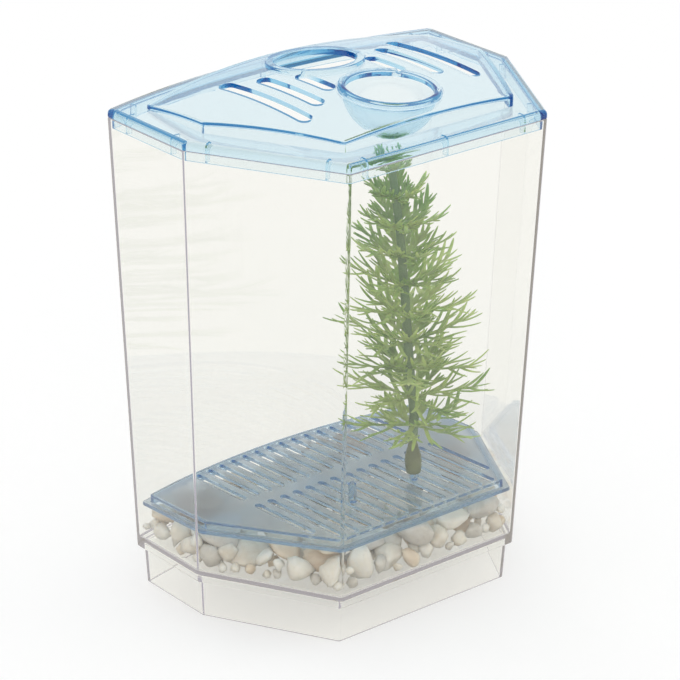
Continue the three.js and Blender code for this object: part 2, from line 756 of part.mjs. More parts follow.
// One branch of a whorl: a three-sided blade that rises outward and ends in a point, with forks
// drawn out of its flanks on alternate sides.
function branch(azimuth, reach, rise) {
  const start = STEM_RADIUS + FIT_GAP + HUB_WALL / 2;
  const out = new THREE.Vector3(Math.cos(azimuth), Math.sin(azimuth), 0);
  const across = new THREE.Vector3(-out.y, out.x, 0);
  const up = new THREE.Vector3(0, 0, 1);
  const centre = (s) => out.clone()
    .multiplyScalar(start + (reach - start) * s)
    .addScaledVector(up, rise * s ** 1.5);
  const stations = [0, ...FORK_SHARES.flatMap((s) => [s, s + FORK_ROOT_SHARE])];
  const points = stations.flatMap((s) => {
    const half = (LEAF_WIDTH / 2) * (0.8 + 0.8 * s - 1.1 * s * s);
    const thick = LEAF_THICKNESS * (1 - 0.4 * s);
    return [
      centre(s).addScaledVector(across, -half).addScaledVector(up, -thick / 2),
      centre(s).addScaledVector(across, half).addScaledVector(up, -thick / 2),
      centre(s).addScaledVector(up, thick / 2),
    ];
  });
  const faces = [[0, 2, 1]];
  for (let i = 0; i + 1 < stations.length; i += 1) {
    const fork = i % 2 === 1 ? (i - 1) / 2 : -1;
    const forkSide = fork % 2 === 0 ? 1 : 2;
    for (let j = 0; j < 3; j += 1) {
      const a = i * 3 + j;
      const b = i * 3 + ((j + 1) % 3);
      if (fork >= 0 && j === forkSide) {
        const root = points[a].clone().add(points[b + 3]).multiplyScalar(0.5);
        const heading = centre(stations[i + 1]).sub(centre(stations[i])).normalize();
        heading.applyAxisAngle(up, forkSide === 1 ? FORK_SPREAD : -FORK_SPREAD);
        heading.addScaledVector(up, FORK_LIFT_SHARES[fork]).normalize();
        points.push(root.addScaledVector(heading, reach * FORK_LENGTH_SHARE));
        const tip = points.length - 1;
        faces.push([a, b, tip], [b, b + 3, tip], [b + 3, a + 3, tip], [a + 3, a, tip]);
      } else {
        faces.push([a, b, b + 3], [a, b + 3, a + 3]);
      }
    }
  }
  points.push(centre(1));
  const last = (stations.length - 1) * 3;
  for (let j = 0; j < 3; j += 1) {
    faces.push([last + j, last + ((j + 1) % 3), points.length - 1]);
  }
  return toSolid(closedMesh(points, faces));
}

function whorl(index) {
  const reach = whorlReach * WHORL_REACH_SHARES[index];
  const rise = whorlReach * WHORL_RISE_SHARES[index];
  const hubRadius = STEM_RADIUS + FIT_GAP + 1.5 * HUB_WALL;
  const turn = index * WHORL_TURN;
  const parts = [toSolid(upright(hubRadius, -HUB_HEIGHT / 2, HUB_HEIGHT / 2, 8))];
  for (let b = 0; b < WHORL_BRANCHES; b += 1) {
    parts.push(branch(turn + (2 * Math.PI * b) / WHORL_BRANCHES, reach, rise));
  }
  return join(parts).subtract(bore(STEM_RADIUS + FIT_GAP, -HUB_HEIGHT, HUB_HEIGHT, 8));
}

for (let i = 0; i < WHORL_COUNT; i += 1) {
  const height = FIRST_WHORL_HEIGHT + i * whorlPitch;
  const along = (height - stemBottom) / stemLength;
  const mesh = piece(`leaf_whorl_${i + 1}`, toGeometry(whorl(i)), LEAF_GREEN, plantFrame);
  mesh.position.copy(stemCurve.getPoint(along));
  const lean = stemCurve.getTangent(along);
  mesh.quaternion.setFromUnitVectors(new THREE.Vector3(0, 0, 1), lean);
}

// Pebbles: dropped one by one on the lowest free place, below the slotted plate

let seed = PEBBLE_SEED;
function random() {
  seed = (seed + 0x6d2b79f5) | 0;
  let t = Math.imul(seed ^ (seed >>> 15), 1 | seed);
  t = (t + Math.imul(t ^ (t >>> 7), 61 | t)) ^ t;
  return ((t ^ (t >>> 14)) >>> 0) / 4294967296;
}

function between([low, high]) {
  return low + (high - low) * random();
}

// The bed is a grid of columns and rows that holds the height of what lies there so far, with a
// margin round each pebble. The skin holds the same heights without the margin.
const columns = Math.round(BACK_WIDTH / PEBBLE_GRID / 2) * 2;
const rows = Math.round(TANK_DEPTH / PEBBLE_GRID / 2) * 2;
const bed = new Float64Array(columns * rows);
const skin = new Float64Array(columns * rows);
const ceiling = new Float64Array(columns * rows);
const wallDistance = new Float64Array(columns * rows);

// The lowest part of the plate above a place: its flange near the edge, its top wall inside.
function plateUnderside(x, y) {
  const px = x - PLATE_SHIFT_X;
  const py = y - PLATE_SHIFT_Y;
  const inset = underInset + PEBBLE_GAP;
  const hollow = Math.abs(px) < BACK_WIDTH / 2 - inset
    && py < backAt(px, inset)
    && py > hexagonFront(Math.abs(px), inset);
  const below = hollow ? PLATE_THICKNESS : PLATE_RISE;
  return PLATE_CENTRE_HEIGHT - py * Math.tan(PLATE_TILT) - below / Math.cos(PLATE_TILT);
}

const floorInset = leanAt(FLOOR_TOP) + WALL;
const floorCorners = hexagon(floorInset);
for (let row = 0; row < rows; row += 1) {
  for (let column = 0; column < columns; column += 1) {
    const x = (column - columns / 2) * PEBBLE_GRID;
    const y = (row - rows / 2) * PEBBLE_GRID;
    const cell = row * columns + column;
    bed[cell] = FLOOR_TOP;
    skin[cell] = FLOOR_TOP;
    ceiling[cell] = plateUnderside(x, y);
    const toSides = floorCorners.slice(0, -1).map((corner, i) => {
      const along = floorCorners[i + 1].clone().sub(corner).normalize();
      return along.x * (y - corner.y) - along.y * (x - corner.x);
    });
    const toBack = backRadius - floorInset - Math.hypot(x, y - backCentreY);
    wallDistance[cell] = Math.min(toBack, ...toSides);
  }
}

// A pebble is a ball with shallow dents, stretched to its length, width and height.
function pebbleGeometry(size, yaw, detail) {
  const ball = new THREE.IcosahedronGeometry(1, detail);
  ball.deleteAttribute('normal');
  ball.deleteAttribute('uv');
  const geometry = mergeVertices(ball, EPSILON);
  const position = geometry.attributes.position;
  const point = new THREE.Vector3();
  for (let i = 0; i < position.count; i += 1) {
    point.fromBufferAttribute(position, i).normalize();
    const wave = Math.sin(3 * point.x + size.phase)
      + Math.sin(3.6 * point.y + 2 * size.phase)
      + Math.sin(2.4 * point.z + 3 * size.phase);
    point.multiplyScalar(1 - PEBBLE_DENT_SHARE * (0.5 + wave / 6));
    position.setXYZ(i, point.x, point.y, point.z);
  }
  geometry.scale(size.length / 2, size.width / 2, size.height / 2);
  geometry.rotateZ(yaw);
  return geometry;
}

// The lowest and highest points of a pebble over each grid place that it covers, and one step on.
function footprint(geometry) {
  const cells = new Map();
  const note = (column, row, low, high, solid) => {
    const key = `${column},${row}`;
    const cell = cells.get(key) ?? { column, row, low, high, solid };
    cell.low = Math.min(cell.low, low);
    cell.high = Math.max(cell.high, high);
    cells.set(key, cell);
  };
  const position = geometry.attributes.position;
  const index = geometry.index.array;
  const [a, b, c] = [new THREE.Vector3(), new THREE.Vector3(), new THREE.Vector3()];
  for (let i = 0; i < index.length; i += 3) {
    [a, b, c].forEach((corner, k) => corner.fromBufferAttribute(position, index[i + k]));
    const area = (b.x - a.x) * (c.y - a.y) - (b.y - a.y) * (c.x - a.x);
    const x0 = Math.ceil(Math.min(a.x, b.x, c.x) / PEBBLE_GRID);
    const x1 = Math.floor(Math.max(a.x, b.x, c.x) / PEBBLE_GRID);
    const y0 = Math.ceil(Math.min(a.y, b.y, c.y) / PEBBLE_GRID);
    const y1 = Math.floor(Math.max(a.y, b.y, c.y) / PEBBLE_GRID);
    for (let row = y0; row <= y1; row += 1) {
      for (let column = x0; column <= x1; column += 1) {
        const x = column * PEBBLE_GRID;
        const y = row * PEBBLE_GRID;
        const u = ((b.x - x) * (c.y - y) - (b.y - y) * (c.x - x)) / area;
        const v = ((c.x - x) * (a.y - y) - (c.y - y) * (a.x - x)) / area;
        const w = 1 - u - v;
        if (u >= 0 && v >= 0 && w >= 0) {
          const z = u * a.z + v * b.z + w * c.z;
          note(column, row, z, z, true);
        }
      }
    }
  }
  const covered = new Set(cells.keys());
  for (const { column, row, low, high } of [...cells.values()]) {
    const inner = (high - low) / 4;
    for (const [dx, dy] of [[1, 0], [-1, 0], [0, 1], [0, -1], [1, 1], [1, -1], [-1, 1], [-1, -1]]) {
      if (!covered.has(`${column + dx},${row + dy}`)) {
        note(column + dx, row + dy, low + inner, high - inner, false);
      }
    }
  }
  return [...cells.values()];
}

// Where a pebble comes to rest if dropped at a grid place, or null if it doesn't fit there.
function restAt(cells, column, row, band) {
  let z = 0;
  let contact = 0;
  for (const cell of cells) {
    const c = column + cell.column;
    const r = row + cell.row;
    if (c < 0 || r < 0 || c >= columns || r >= rows) {
      return null;
    }
    const index = r * columns + c;
    if (wallDistance[index] < PEBBLE_GAP) {
      return null;
    }
    z = Math.max(z, bed[index] - cell.low);
    if (cell.solid) {
      contact = Math.max(contact, skin[index] - cell.low);
    }
  }
  if (wallDistance[row * columns + column] > band || z - contact > PEBBLE_GAP) {
    return null;
  }
  z += PEBBLE_GAP;
  let room = Infinity;
  for (const cell of cells) {
    const index = (row + cell.row) * columns + column + cell.column;
    room = Math.min(room, ceiling[index] - PEBBLE_GAP - z - cell.high);
  }
  return room < 0 ? null : { column, row, z, room };
}

let settled = 0;
for (let i = 0; i < PEBBLE_COUNT; i += 1) {
  const band = i < WALL_PEBBLES ? WALL_BAND : BACK_WIDTH;
  const carriesPlate = i >= PEBBLE_COUNT - PLATE_CARRIERS;
  const length = PEBBLE_LENGTH * between(PEBBLE_LENGTH_SHARES);
  const size = {
    length,
    width: length * between(PEBBLE_WIDTH_SHARES),
    height: length * between(PEBBLE_HEIGHT_SHARES),
    phase: random() * 2 * Math.PI,
  };
  let best = null;
  for (let turn = 0; turn < PEBBLE_TURNS; turn += 1) {
    const yaw = (Math.PI * (turn + random())) / PEBBLE_TURNS;
    const geometry = pebbleGeometry(size, yaw, i < FINE_PEBBLES ? 2 : 1);
    const cells = footprint(geometry);
    for (let k = 0; k < PEBBLE_TRIES; k += 1) {
      const column = Math.floor(random() * columns);
      const row = Math.floor(random() * rows);
      const rest = restAt(cells, column, row, band);
      if (rest) {
        const cost = carriesPlate ? rest.room : rest.z;
        if (!best || cost < best.cost) {
          best = { ...rest, cost, geometry, cells };
        }
      }
    }
  }
  if (best) {
    for (const cell of best.cells) {
      const index = (best.row + cell.row) * columns + best.column + cell.column;
      bed[index] = Math.max(bed[index], best.z + cell.high);
      if (cell.solid) {
        skin[index] = Math.max(skin[index], best.z + cell.high);
      }
    }
    settled += 1;
    const shade = PEBBLE_COLOURS[settled % PEBBLE_COLOURS.length];
    const name = `pebble_${String(settled).padStart(2, '0')}`;
    const mesh = piece(name, best.geometry, material(shade, 0.55, 1));
    const x = (best.column - columns / 2) * PEBBLE_GRID;
    const y = (best.row - rows / 2) * PEBBLE_GRID;
    mesh.position.set(x, y, best.z);
  }
}

export default box;
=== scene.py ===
# %% [markdown]
# # A fish breeding box, finished in Blender
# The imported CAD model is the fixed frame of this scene: a tapered clear tank with a bowed back, a
# pale blue domed lid, a feeding cup, a slotted plate, a plastic water plant and a bed of pebbles.
# This file gives each piece its real finish and draws again, as a finer skin, each piece whose
# curves CAD keeps to a few flat faces.

import json
from math import asin, atan, atan2, cos, pi, radians, sin, sqrt

import bmesh
import bpy
import numpy as np
from mathutils import Matrix, Vector


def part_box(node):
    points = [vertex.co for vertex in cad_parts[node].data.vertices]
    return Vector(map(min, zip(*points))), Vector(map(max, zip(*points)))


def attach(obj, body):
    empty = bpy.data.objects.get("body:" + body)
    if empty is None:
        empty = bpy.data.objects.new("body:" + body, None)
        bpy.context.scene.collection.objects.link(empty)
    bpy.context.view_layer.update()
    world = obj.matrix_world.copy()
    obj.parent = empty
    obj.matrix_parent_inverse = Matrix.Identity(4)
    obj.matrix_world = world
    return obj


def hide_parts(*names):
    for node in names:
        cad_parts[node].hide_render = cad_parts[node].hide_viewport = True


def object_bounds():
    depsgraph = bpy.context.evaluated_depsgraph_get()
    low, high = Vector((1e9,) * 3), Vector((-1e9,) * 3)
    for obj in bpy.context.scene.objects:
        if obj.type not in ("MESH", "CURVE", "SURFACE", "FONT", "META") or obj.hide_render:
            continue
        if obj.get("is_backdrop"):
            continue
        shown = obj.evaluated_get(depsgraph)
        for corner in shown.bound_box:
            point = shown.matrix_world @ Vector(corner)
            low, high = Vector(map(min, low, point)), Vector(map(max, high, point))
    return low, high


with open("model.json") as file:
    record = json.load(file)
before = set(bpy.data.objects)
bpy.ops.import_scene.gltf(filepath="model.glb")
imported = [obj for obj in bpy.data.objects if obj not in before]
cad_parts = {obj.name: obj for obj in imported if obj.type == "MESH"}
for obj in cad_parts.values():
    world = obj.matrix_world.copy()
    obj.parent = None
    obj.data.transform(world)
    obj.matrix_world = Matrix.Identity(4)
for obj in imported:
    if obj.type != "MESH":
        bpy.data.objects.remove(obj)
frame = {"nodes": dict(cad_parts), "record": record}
cad_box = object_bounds()
nodes = frame["nodes"]
slots = {part["node"]: part["material_slot"] for part in frame["record"]["subparts"]}

# %% [markdown]
# ## Camera
# The picture was taken from the front left, a little above the rim, with a long lens. The camera
# could be placed by eye, but these values come from fitting the rim, the step and the lid's
# outline, so the object fills the same frame and both pictures can be laid over each other.

# %% Camera
VIEW_AZIMUTH, VIEW_ELEVATION, VIEW_ROLL = -39.964, 23.725, 0.641
VIEW_DISTANCE, VIEW_LENS, SENSOR_WIDTH, CLIP_START = 1.1313, 162.70, 36.0, 0.05
VIEW_TARGET = Vector((-0.010136, -0.007690, 0.099667))


def linked(name, data):
    """A new object in the scene that holds the data."""
    new = bpy.data.objects.new(name, data)
    bpy.context.scene.collection.objects.link(new)
    return new


def aim_camera():
    """Puts the camera on a sphere round its target; its axes are right, up and back."""
    az, el, roll = (radians(a) for a in (VIEW_AZIMUTH, VIEW_ELEVATION, VIEW_ROLL))
    back = Vector((sin(az) * cos(el), -cos(az) * cos(el), sin(el)))
    right = (-back).cross(Vector((0, 0, 1))).normalized()
    up = right.cross(-back)
    turned_right = right * cos(roll) + up * sin(roll)
    turned_up = up * cos(roll) - right * sin(roll)
    data = bpy.data.cameras.new("photo_camera")
    data.sensor_width, data.lens, data.clip_start = SENSOR_WIDTH, VIEW_LENS, CLIP_START
    camera = linked("photo_camera", data)
    turn = Matrix((turned_right, turned_up, back)).transposed().to_4x4()
    camera.matrix_world = Matrix.Translation(VIEW_TARGET + back * VIEW_DISTANCE) @ turn
    bpy.context.scene.camera = camera
    return camera


print("camera at", [round(v, 3) for v in aim_camera().location])

# %% [markdown]
# ## Shader helpers
# Every finish below is a small node tree. `make` adds a node and sets its inputs, so each tree
# reads as a short list of what it is made of, with the nodes in a row in the order of the list.

# %% Node helpers
NODE_SPACING = 220


def make(tree, kind, props=None, **inputs):
    """Adds one node, sets its properties, links or sets each input by name or as i and its number, and
    gives its outputs."""
    node = tree.nodes.new("ShaderNode" + kind)
    node.location.x = NODE_SPACING * len(tree.nodes)
    for key, value in (props or {}).items():
        setattr(node, key, value)
    for key, value in inputs.items():
        by_number = key[0] == "i" and key[1:].isdigit()
        socket = node.inputs[int(key[1:]) if by_number else key.replace("_", " ")]
        if isinstance(value, bpy.types.NodeSocket):
            tree.links.new(value, socket)
        else:
            socket.default_value = value
    return node.outputs


def calculate(tree, operation, *values):
    """The result of one Math node; its values are numbers or links, in order."""
    values = {f"i{k}": value for k, value in enumerate(values)}
    return make(tree, "Math", {"operation": operation}, **values)[0]


def spread(tree, value, low, high, to_low=0.0, to_high=1.0):
    """The value, with the range from low to high drawn out to the range from to_low to to_high."""
    ends = {"From_Min": low, "From_Max": high, "To_Min": to_low, "To_Max": to_high}
    return make(tree, "MapRange", Value=value, **ends)[0]


def noise(tree, place, scale, detail, roughness=0.5, distortion=0.0):
    """The value of a Noise Texture at a place."""
    inputs = {"Scale": scale, "Detail": detail, "Roughness": roughness, "Distortion": distortion}
    return make(tree, "TexNoise", Vector=place, **inputs)[0]


def blend(tree, share, first, second):
    """Two colours mixed by a share."""
    return make(tree, "Mix", {"data_type": "RGBA"}, i0=share, i6=first, i7=second)[2]


def either(tree, share, first, second):
    """Two shaders mixed by a share."""
    return make(tree, "MixShader", i0=share, i1=first, i2=second)[0]


def rgb(red, green, blue):
    """An 8-bit screen colour as linear light."""
    share = [c / 255 for c in (red, green, blue)]
    return (*[c / 12.92 if c <= 0.04045 else ((c + 0.055) / 1.055) ** 2.4 for c in share], 1.0)


def new_material(name):
    """An empty material and its node tree."""
    material = bpy.data.materials.new(name)
    material.use_nodes = True
    material.node_tree.nodes.clear()
    return material, material.node_tree


print("mid grey as light", round(rgb(128, 128, 128)[0], 3))

# %% [markdown]
# ## Stage: floor, light and white background
# The object stands on a plain white sweep. More light would turn the floor white, but also bleach
# the object. So the floor is pale and keeps the soft shadow, and a little white is added only for
# the camera and through the plastic, which puts no light on things. The lamps are large and soft,
# and are left out of mirror images, where they would show as hard discs in the cup.

# %% Stage
FLOOR_GREY, FLOOR_LIFT, SKY_LEVEL = 0.54, 0.475, 0.78
FLOOR_RADIUS, FLOOR_STEPS, FLOOR_DROP = 6.0, 96, 0.0002
LAMPS = (
    ("key_light", (-1.3, -1.6, 1.5), 1.3, 14.0),
    ("fill_light", (1.5, -0.6, 1.2), 1.2, 3.5),
    ("back_light", (0.2, 1.6, 1.4), 1.2, 3.5),
)
LAMP_TARGET = Vector((0, 0, 0.09))
WHITE = (1, 1, 1, 1)


def seen_directly(tree):
    """1 for camera, mirror and through-glass rays, 0 for the rays that light things."""
    path = make(tree, "LightPath")
    first = calculate(tree, "MAXIMUM", path["Is Camera Ray"], path["Is Glossy Ray"])
    return calculate(tree, "MAXIMUM", first, path["Is Transmission Ray"])


def white_world():
    """A sky that is white to look at and a little dimmer as a light."""
    world = bpy.data.worlds.new("white_studio")
    world.use_nodes = True
    tree = world.node_tree
    tree.nodes.clear()
    level = spread(tree, seen_directly(tree), 0.0, 1.0, SKY_LEVEL, 1.0)
    sky = make(tree, "Background", Color=WHITE, Strength=level)
    make(tree, "OutputWorld", Surface=sky[0])
    bpy.context.scene.world = world


def unit(vectors):
    """Each vector at length one."""
    return vectors / np.linalg.norm(vectors, axis=-1, keepdims=True)


def around(angle):
    """The points at each angle on a circle of radius one."""
    return np.stack([np.cos(angle), np.sin(angle)], -1)


def circle(steps):
    """Even steps round a circle of radius one, counter-clockwise."""
    return around(np.linspace(0, 2 * pi, steps, endpoint=False))


def white_floor():
    """A matt disc just under the object, with the lift added for rays that look at it."""
    material, tree = new_material("white_floor")
    lift = calculate(tree, "MULTIPLY", seen_directly(tree), FLOOR_LIFT)
    matt = make(tree, "BsdfDiffuse", Color=(FLOOR_GREY, FLOOR_GREY, FLOOR_GREY, 1))
    glow = make(tree, "Emission", Color=WHITE, Strength=lift)
    both = make(tree, "AddShader", i0=matt[0], i1=glow[0])
    make(tree, "OutputMaterial", Surface=both[0])
    rim = np.column_stack([FLOOR_RADIUS * circle(FLOOR_STEPS), np.full(FLOOR_STEPS, -FLOOR_DROP)])
    mesh = bpy.data.meshes.new("studio_floor")
    mesh.from_pydata(rim.tolist(), [], [list(range(FLOOR_STEPS))])
    mesh.materials.append(material)
    floor = linked("studio_floor", mesh)
    floor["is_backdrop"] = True


def soft_lamps():
    """Round soft lamps aimed at the object; bent walls don't mirror them as bright discs."""
    for name, place, size, power in LAMPS:
        data = bpy.data.lights.new(name, "AREA")
        data.shape, data.size, data.energy = "DISK", size, power
        lamp = linked(name, data)
        lamp.location = place
        lamp.visible_glossy = lamp.visible_transmission = False
        lamp.rotation_euler = (LAMP_TARGET - Vector(place)).to_track_quat("-Z", "Y").to_euler()


white_world()
white_floor()
soft_lamps()
bpy.context.scene.view_settings.view_transform = "Standard"
print("stage set, floor grey", FLOOR_GREY, "with", len(LAMPS), "lamps")

# %% [markdown]
# ## The outline that every moulding shares
# Tank, lid and plate all follow one plan: five straight walls and a bowed back. Lengths from here
# on are millimetres, as in the CAD source, and become metres when a mesh is made. The wall places
# come from the frame's own boxes, and only what a box can't tell is written as a number.

# %% Outline
MM = 0.001
CORNER_STEPS, SIDE_STEPS, BACK_STEPS = 7, 8, 28
OUTER_CORNER, INNER_CORNER = 1.6, 0.8


def box_of(node):
    """The lowest and highest corner of a CAD node, in millimetres."""
    return [np.array(corner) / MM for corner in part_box(node)]


HALF_WIDTH, REACH, RIM_Z = box_of("tank")[1]
FRONT_HALF, SIDE_DEPTH, BACK_BOW = 45.9, 44.4, 11.0
BACK_RADIUS = (HALF_WIDTH**2 + BACK_BOW**2) / (2 * BACK_BOW)
BACK_CENTRE = REACH - BACK_RADIUS
SIDE_END = np.array([HALF_WIDTH, REACH - BACK_BOW - SIDE_DEPTH])
SLANT = unit(np.array([SIDE_END[1] + REACH, FRONT_HALF - HALF_WIDTH]))


def corners(inset):
    """Where the walls meet once each has moved in by inset: the slanted wall by its offset line, the
    back by its arc."""
    half, front = HALF_WIDTH - inset, inset - REACH
    span = SLANT @ SIDE_END - inset
    side_y = (span - SLANT[0] * half) / SLANT[1]
    front_x = (span - SLANT[1] * front) / SLANT[0]
    back_y = BACK_CENTRE + sqrt((BACK_RADIUS - inset) ** 2 - half**2)
    right = np.array([(front_x, front), (half, side_y), (half, back_y)])
    return np.concatenate([right[::-1] * (-1, 1), right])


def outline(inset, radius):
    """The plan as a ring of points, counter-clockwise from the back left: each corner is an arc about
    the corner of the plan moved in by radius as well, straight walls are cut evenly, and the back is
    an arc about its own centre."""
    centres = corners(inset + radius)
    back = atan2(centres[5, 1] - BACK_CENTRE, centres[5, 0])
    slant = atan2(SLANT[1], SLANT[0])
    turns = np.array([pi - back, pi, pi - slant, 1.5 * pi, 2 * pi + slant, 2 * pi, 2 * pi + back])
    share = np.linspace(0, 1, CORNER_STEPS + 1)
    angle = turns[:-1, None] + np.diff(turns)[:, None] * share
    rounds = centres[:, None] + radius * around(angle)
    along = np.linspace(0, 1, SIDE_STEPS + 1)[1:-1, None]
    sides = rounds[:-1, -1, None] * (1 - along) + rounds[1:, 0, None] * along
    sweep = np.linspace(back, pi - back, BACK_STEPS + 1)[1:-1]
    arc = (BACK_RADIUS - inset) * around(sweep) + (0, BACK_CENTRE)
    straight = [np.concatenate([turn, side]) for turn, side in zip(rounds, sides)]
    return np.concatenate([*straight, rounds[5], arc])


print("outline of", len(outline(0, OUTER_CORNER)), "points, bow radius", round(BACK_RADIUS, 1), "mm")

# %% [markdown]
# ## From rings to skins
# A moulding could be a block with bevels, but bevels break down where thin walls meet. Here it is
# a stack of rings. Its section is drawn once, as a path from the middle of the underside, out and
# over the rim, to the middle of the top. Every corner of that path gets a small curve, because no
# moulding has a knife edge, and those small rounds catch the light.

# %% Skins


def rounded(path, sizes, steps=4):
    """The path with each corner drawn as a curve: P(s) = (1-s)^2 a + 2s(1-s) corner + s^2 b, where a
    and b lie on the two legs at the corner's size. A size of zero keeps the corner as it is."""
    path = np.array(path, float)
    s = np.linspace(0, 1, steps + 1)[:, None]
    points = []
    for k, (corner, size) in enumerate(zip(path, sizes)):
        if size == 0:
            points.append(corner[None])
            continue
        legs = [other - corner for other in (path[k - 1], path[(k + 1) % len(path)])]
        a, b = (corner + leg * size / np.linalg.norm(leg[:2]) for leg in legs)
        points.append((1 - s) ** 2 * a + 2 * s * (1 - s) * corner + s**2 * b)
    return np.concatenate(points)


def level_ring(inset, height, radius, share=1.0):
    """The outline at one height, drawn in towards the middle by share; height is a number, or a
    function of x and y."""
    plan = outline(inset, radius) * share
    z = height(plan[:, 0], plan[:, 1]) if callable(height) else np.full(len(plan), height)
    return np.column_stack([plan, z])


def new_mesh(name, points, faces):
    """A mesh of faces between points in millimetres."""
    mesh = bpy.data.meshes.new(name)
    mesh.from_pydata((points * MM).tolist(), [], faces)
    return mesh


def quads_between(levels, count):
    """Four-sided faces that join rings of count points, level by level."""
    i, j = (grid.ravel() for grid in np.meshgrid(np.arange(levels - 1), np.arange(count), indexing="ij"))
    a, b = i * count + j, i * count + (j + 1) % count
    return np.stack([a, b, b + count, a + count], 1)


def skin(name, rings):
    """Joins rings of equal count, and closes both ends with a fan about the end ring's mean."""
    rings = np.array(rings)
    levels, count = rings.shape[:2]
    start, top, here = levels * count, (levels - 1) * count, np.arange(count)
    after = (here + 1) % count
    low_fan = np.stack([np.full(count, start), after, here], 1)
    high_fan = np.stack([np.full(count, start + 1), top + here, top + after], 1)
    points = np.concatenate([rings.reshape(-1, 3), rings[[0, -1]].mean(1)])
    faces = [quads_between(levels, count), low_fan, high_fan]
    return new_mesh(name, points, [face for group in faces for face in group.tolist()])


def moulding(name, path, sizes, shares):
    """The rounded path as rings, with both of its ends drawn in to the middle by the shares."""
    low, high = ([level_ring(*end, share) for share in shares] for end in (path[0], path[-1]))
    return skin(name, [*low, *[level_ring(*row) for row in rounded(path, sizes)], *high[::-1]])


def lathe(name, profile, steps, middle=((0, 0),)):
    """A path of (radius, height) turned about the upright axis, or each of its points about a middle of
    its own; it starts and ends close to the axis."""
    profile = np.array(profile)
    plan = profile[:, None, :1] * circle(steps) + np.array(middle)[:, None]
    return skin(name, np.dstack([plan, np.repeat(profile[:, 1:], steps, 1)]))


def prism(name, plan, bottom, top):
    """A flat ring of points drawn up from bottom to top."""
    return skin(name, [np.column_stack([plan, np.full(len(plan), z)]) for z in (bottom, top)])


def stadium(name, x, y0, y1, width, bottom, top, steps=12):
    """An upright slot with round ends, from y0 to y1, as a closed block to cut with."""
    end = around(np.linspace(0, pi, steps + 1)) * width / 2
    plan = np.concatenate([end + (x, y1 - width / 2), (x, y0 + width / 2) - end])
    return prism(name, plan, bottom, top)


def moved(mesh, tilt=0.0, place=(0, 0, 0)):
    """Leans a mesh about the X axis, then moves it to its place in millimetres."""
    mesh.transform(Matrix.Translation(Vector(place) * MM) @ Matrix.Rotation(tilt, 4, "X"))
    return mesh


def carved(name, base, steps):
    """Joins and cuts other closed skins with the base, in order, and keeps what is left as one mesh."""
    piece, helpers = linked(name, base), []
    for operation, mesh in steps:
        helpers.append(linked("cutter", mesh))
        cut = piece.modifiers.new("cut", "BOOLEAN")
        cut.operation, cut.object, cut.solver = operation, helpers[-1], "MANIFOLD"
    bpy.context.view_layer.update()
    result = bpy.data.meshes.new_from_object(piece.evaluated_get(bpy.context.evaluated_depsgraph_get()))
    for helper in [piece, *helpers]:
        bpy.data.objects.remove(helper)
    result.name = name
    return result


def handed_over(name, mesh, body, finish, slot):
    """A smooth piece with its finish, which rides with a body; its slot is not used."""
    piece = linked(name, mesh)
    mesh.materials.clear()
    mesh.materials.append(finish)
    mesh.shade_smooth()
    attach(piece, body)
    return piece


def placed(name, mesh, body, finish, slot, replaced, sharp=32):
    """Hands over a skin that replaces CAD nodes: edges over the angle sharp stay hard, and big faces
    lead its normals."""
    piece = handed_over(name, mesh, body, finish, slot)
    mesh.set_sharp_from_angle(angle=radians(sharp))
    lead = piece.modifiers.new("normals", "WEIGHTED_NORMAL")
    lead.keep_sharp, lead.weight = True, 50
    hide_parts(*replaced)
    print(name, "faces", len(mesh.polygons))


print("a path with one rounded corner has", len(rounded([(0, 0), (1, 0), (1, 1)], [0, 0.2, 0])), "points")

# %% [markdown]
# ## Clear moulded plastic
# Tank, lid, cup and plate are injection moulded in clear styrene or acrylic. Such a wall is glass
# to the eye: it bends light, mirrors a little, and takes its colour from the depth of plastic that
# the light crosses, which is why every edge is deeper in colour than the flat panel beside it.
# A tinted surface would be simpler but colours edges and panels alike. A volume that absorbs light
# gives the deep edges for free. The surface of a moulding is never quite flat: it has slow flow
# waves from the mould and fine hazy rub marks, which a shared group provides.
# Light that is caught inside an edge would bounce for ever, so after a few inner reflections it
# ends in a painted glow, an emission in the deep colour that such an edge shows, which stands in
# for the light it would carry out.

# %% Moulding surface group
SURFACE_VALUES = {"Wave Size": 60.0, "Rub Size": 900.0, "Least Rough": 0.01, "Most Rough": 0.05}


def moulding_surface():
    """Slow waves from noise give the height; fine stretched noise, where a patch noise allows it,
    gives rub marks."""
    group = bpy.data.node_groups.new("moulding_surface", "ShaderNodeTree")
    for label, default in SURFACE_VALUES.items():
        socket = group.interface.new_socket(label, in_out="INPUT", socket_type="NodeSocketFloat")
        socket.default_value = default
    for label in ("Height", "Roughness", "Mist"):
        group.interface.new_socket(label, in_out="OUTPUT", socket_type="NodeSocketFloat")
    values = group.nodes.new("NodeGroupInput").outputs
    results = group.nodes.new("NodeGroupOutput").inputs
    place = make(group, "TexCoord")["Object"]
    wave = noise(group, place, values["Wave Size"], 2.0, 0.4)
    drawn = make(group, "Mapping", Vector=place, Scale=(1.0, 1.0, 0.12), Rotation=(0.2, 0.1, 0.3))
    rub = spread(group, noise(group, drawn[0], values["Rub Size"], 3.0, 0.65), 0.48, 0.78)
    patch = spread(group, noise(group, place, 22.0, 2.0), 0.42, 0.68)
    mist = calculate(group, "MULTIPLY", rub, patch)
    rough = spread(group, mist, 0.0, 1.0, values["Least Rough"], values["Most Rough"])
    for label, value in (("Height", wave), ("Roughness", rough), ("Mist", mist)):
        group.links.new(value, results[label])
    return group


surface_group = moulding_surface()
print("shared group", surface_group.name, "of", len(surface_group.nodes), "nodes")

# %% Clear plastic material
LAST_MIRROR, LAST_TURN, PLASTIC_IOR = 3.5, 11.5, 1.49
FROST_STARTS, FROST_FULL = -0.6, -0.9


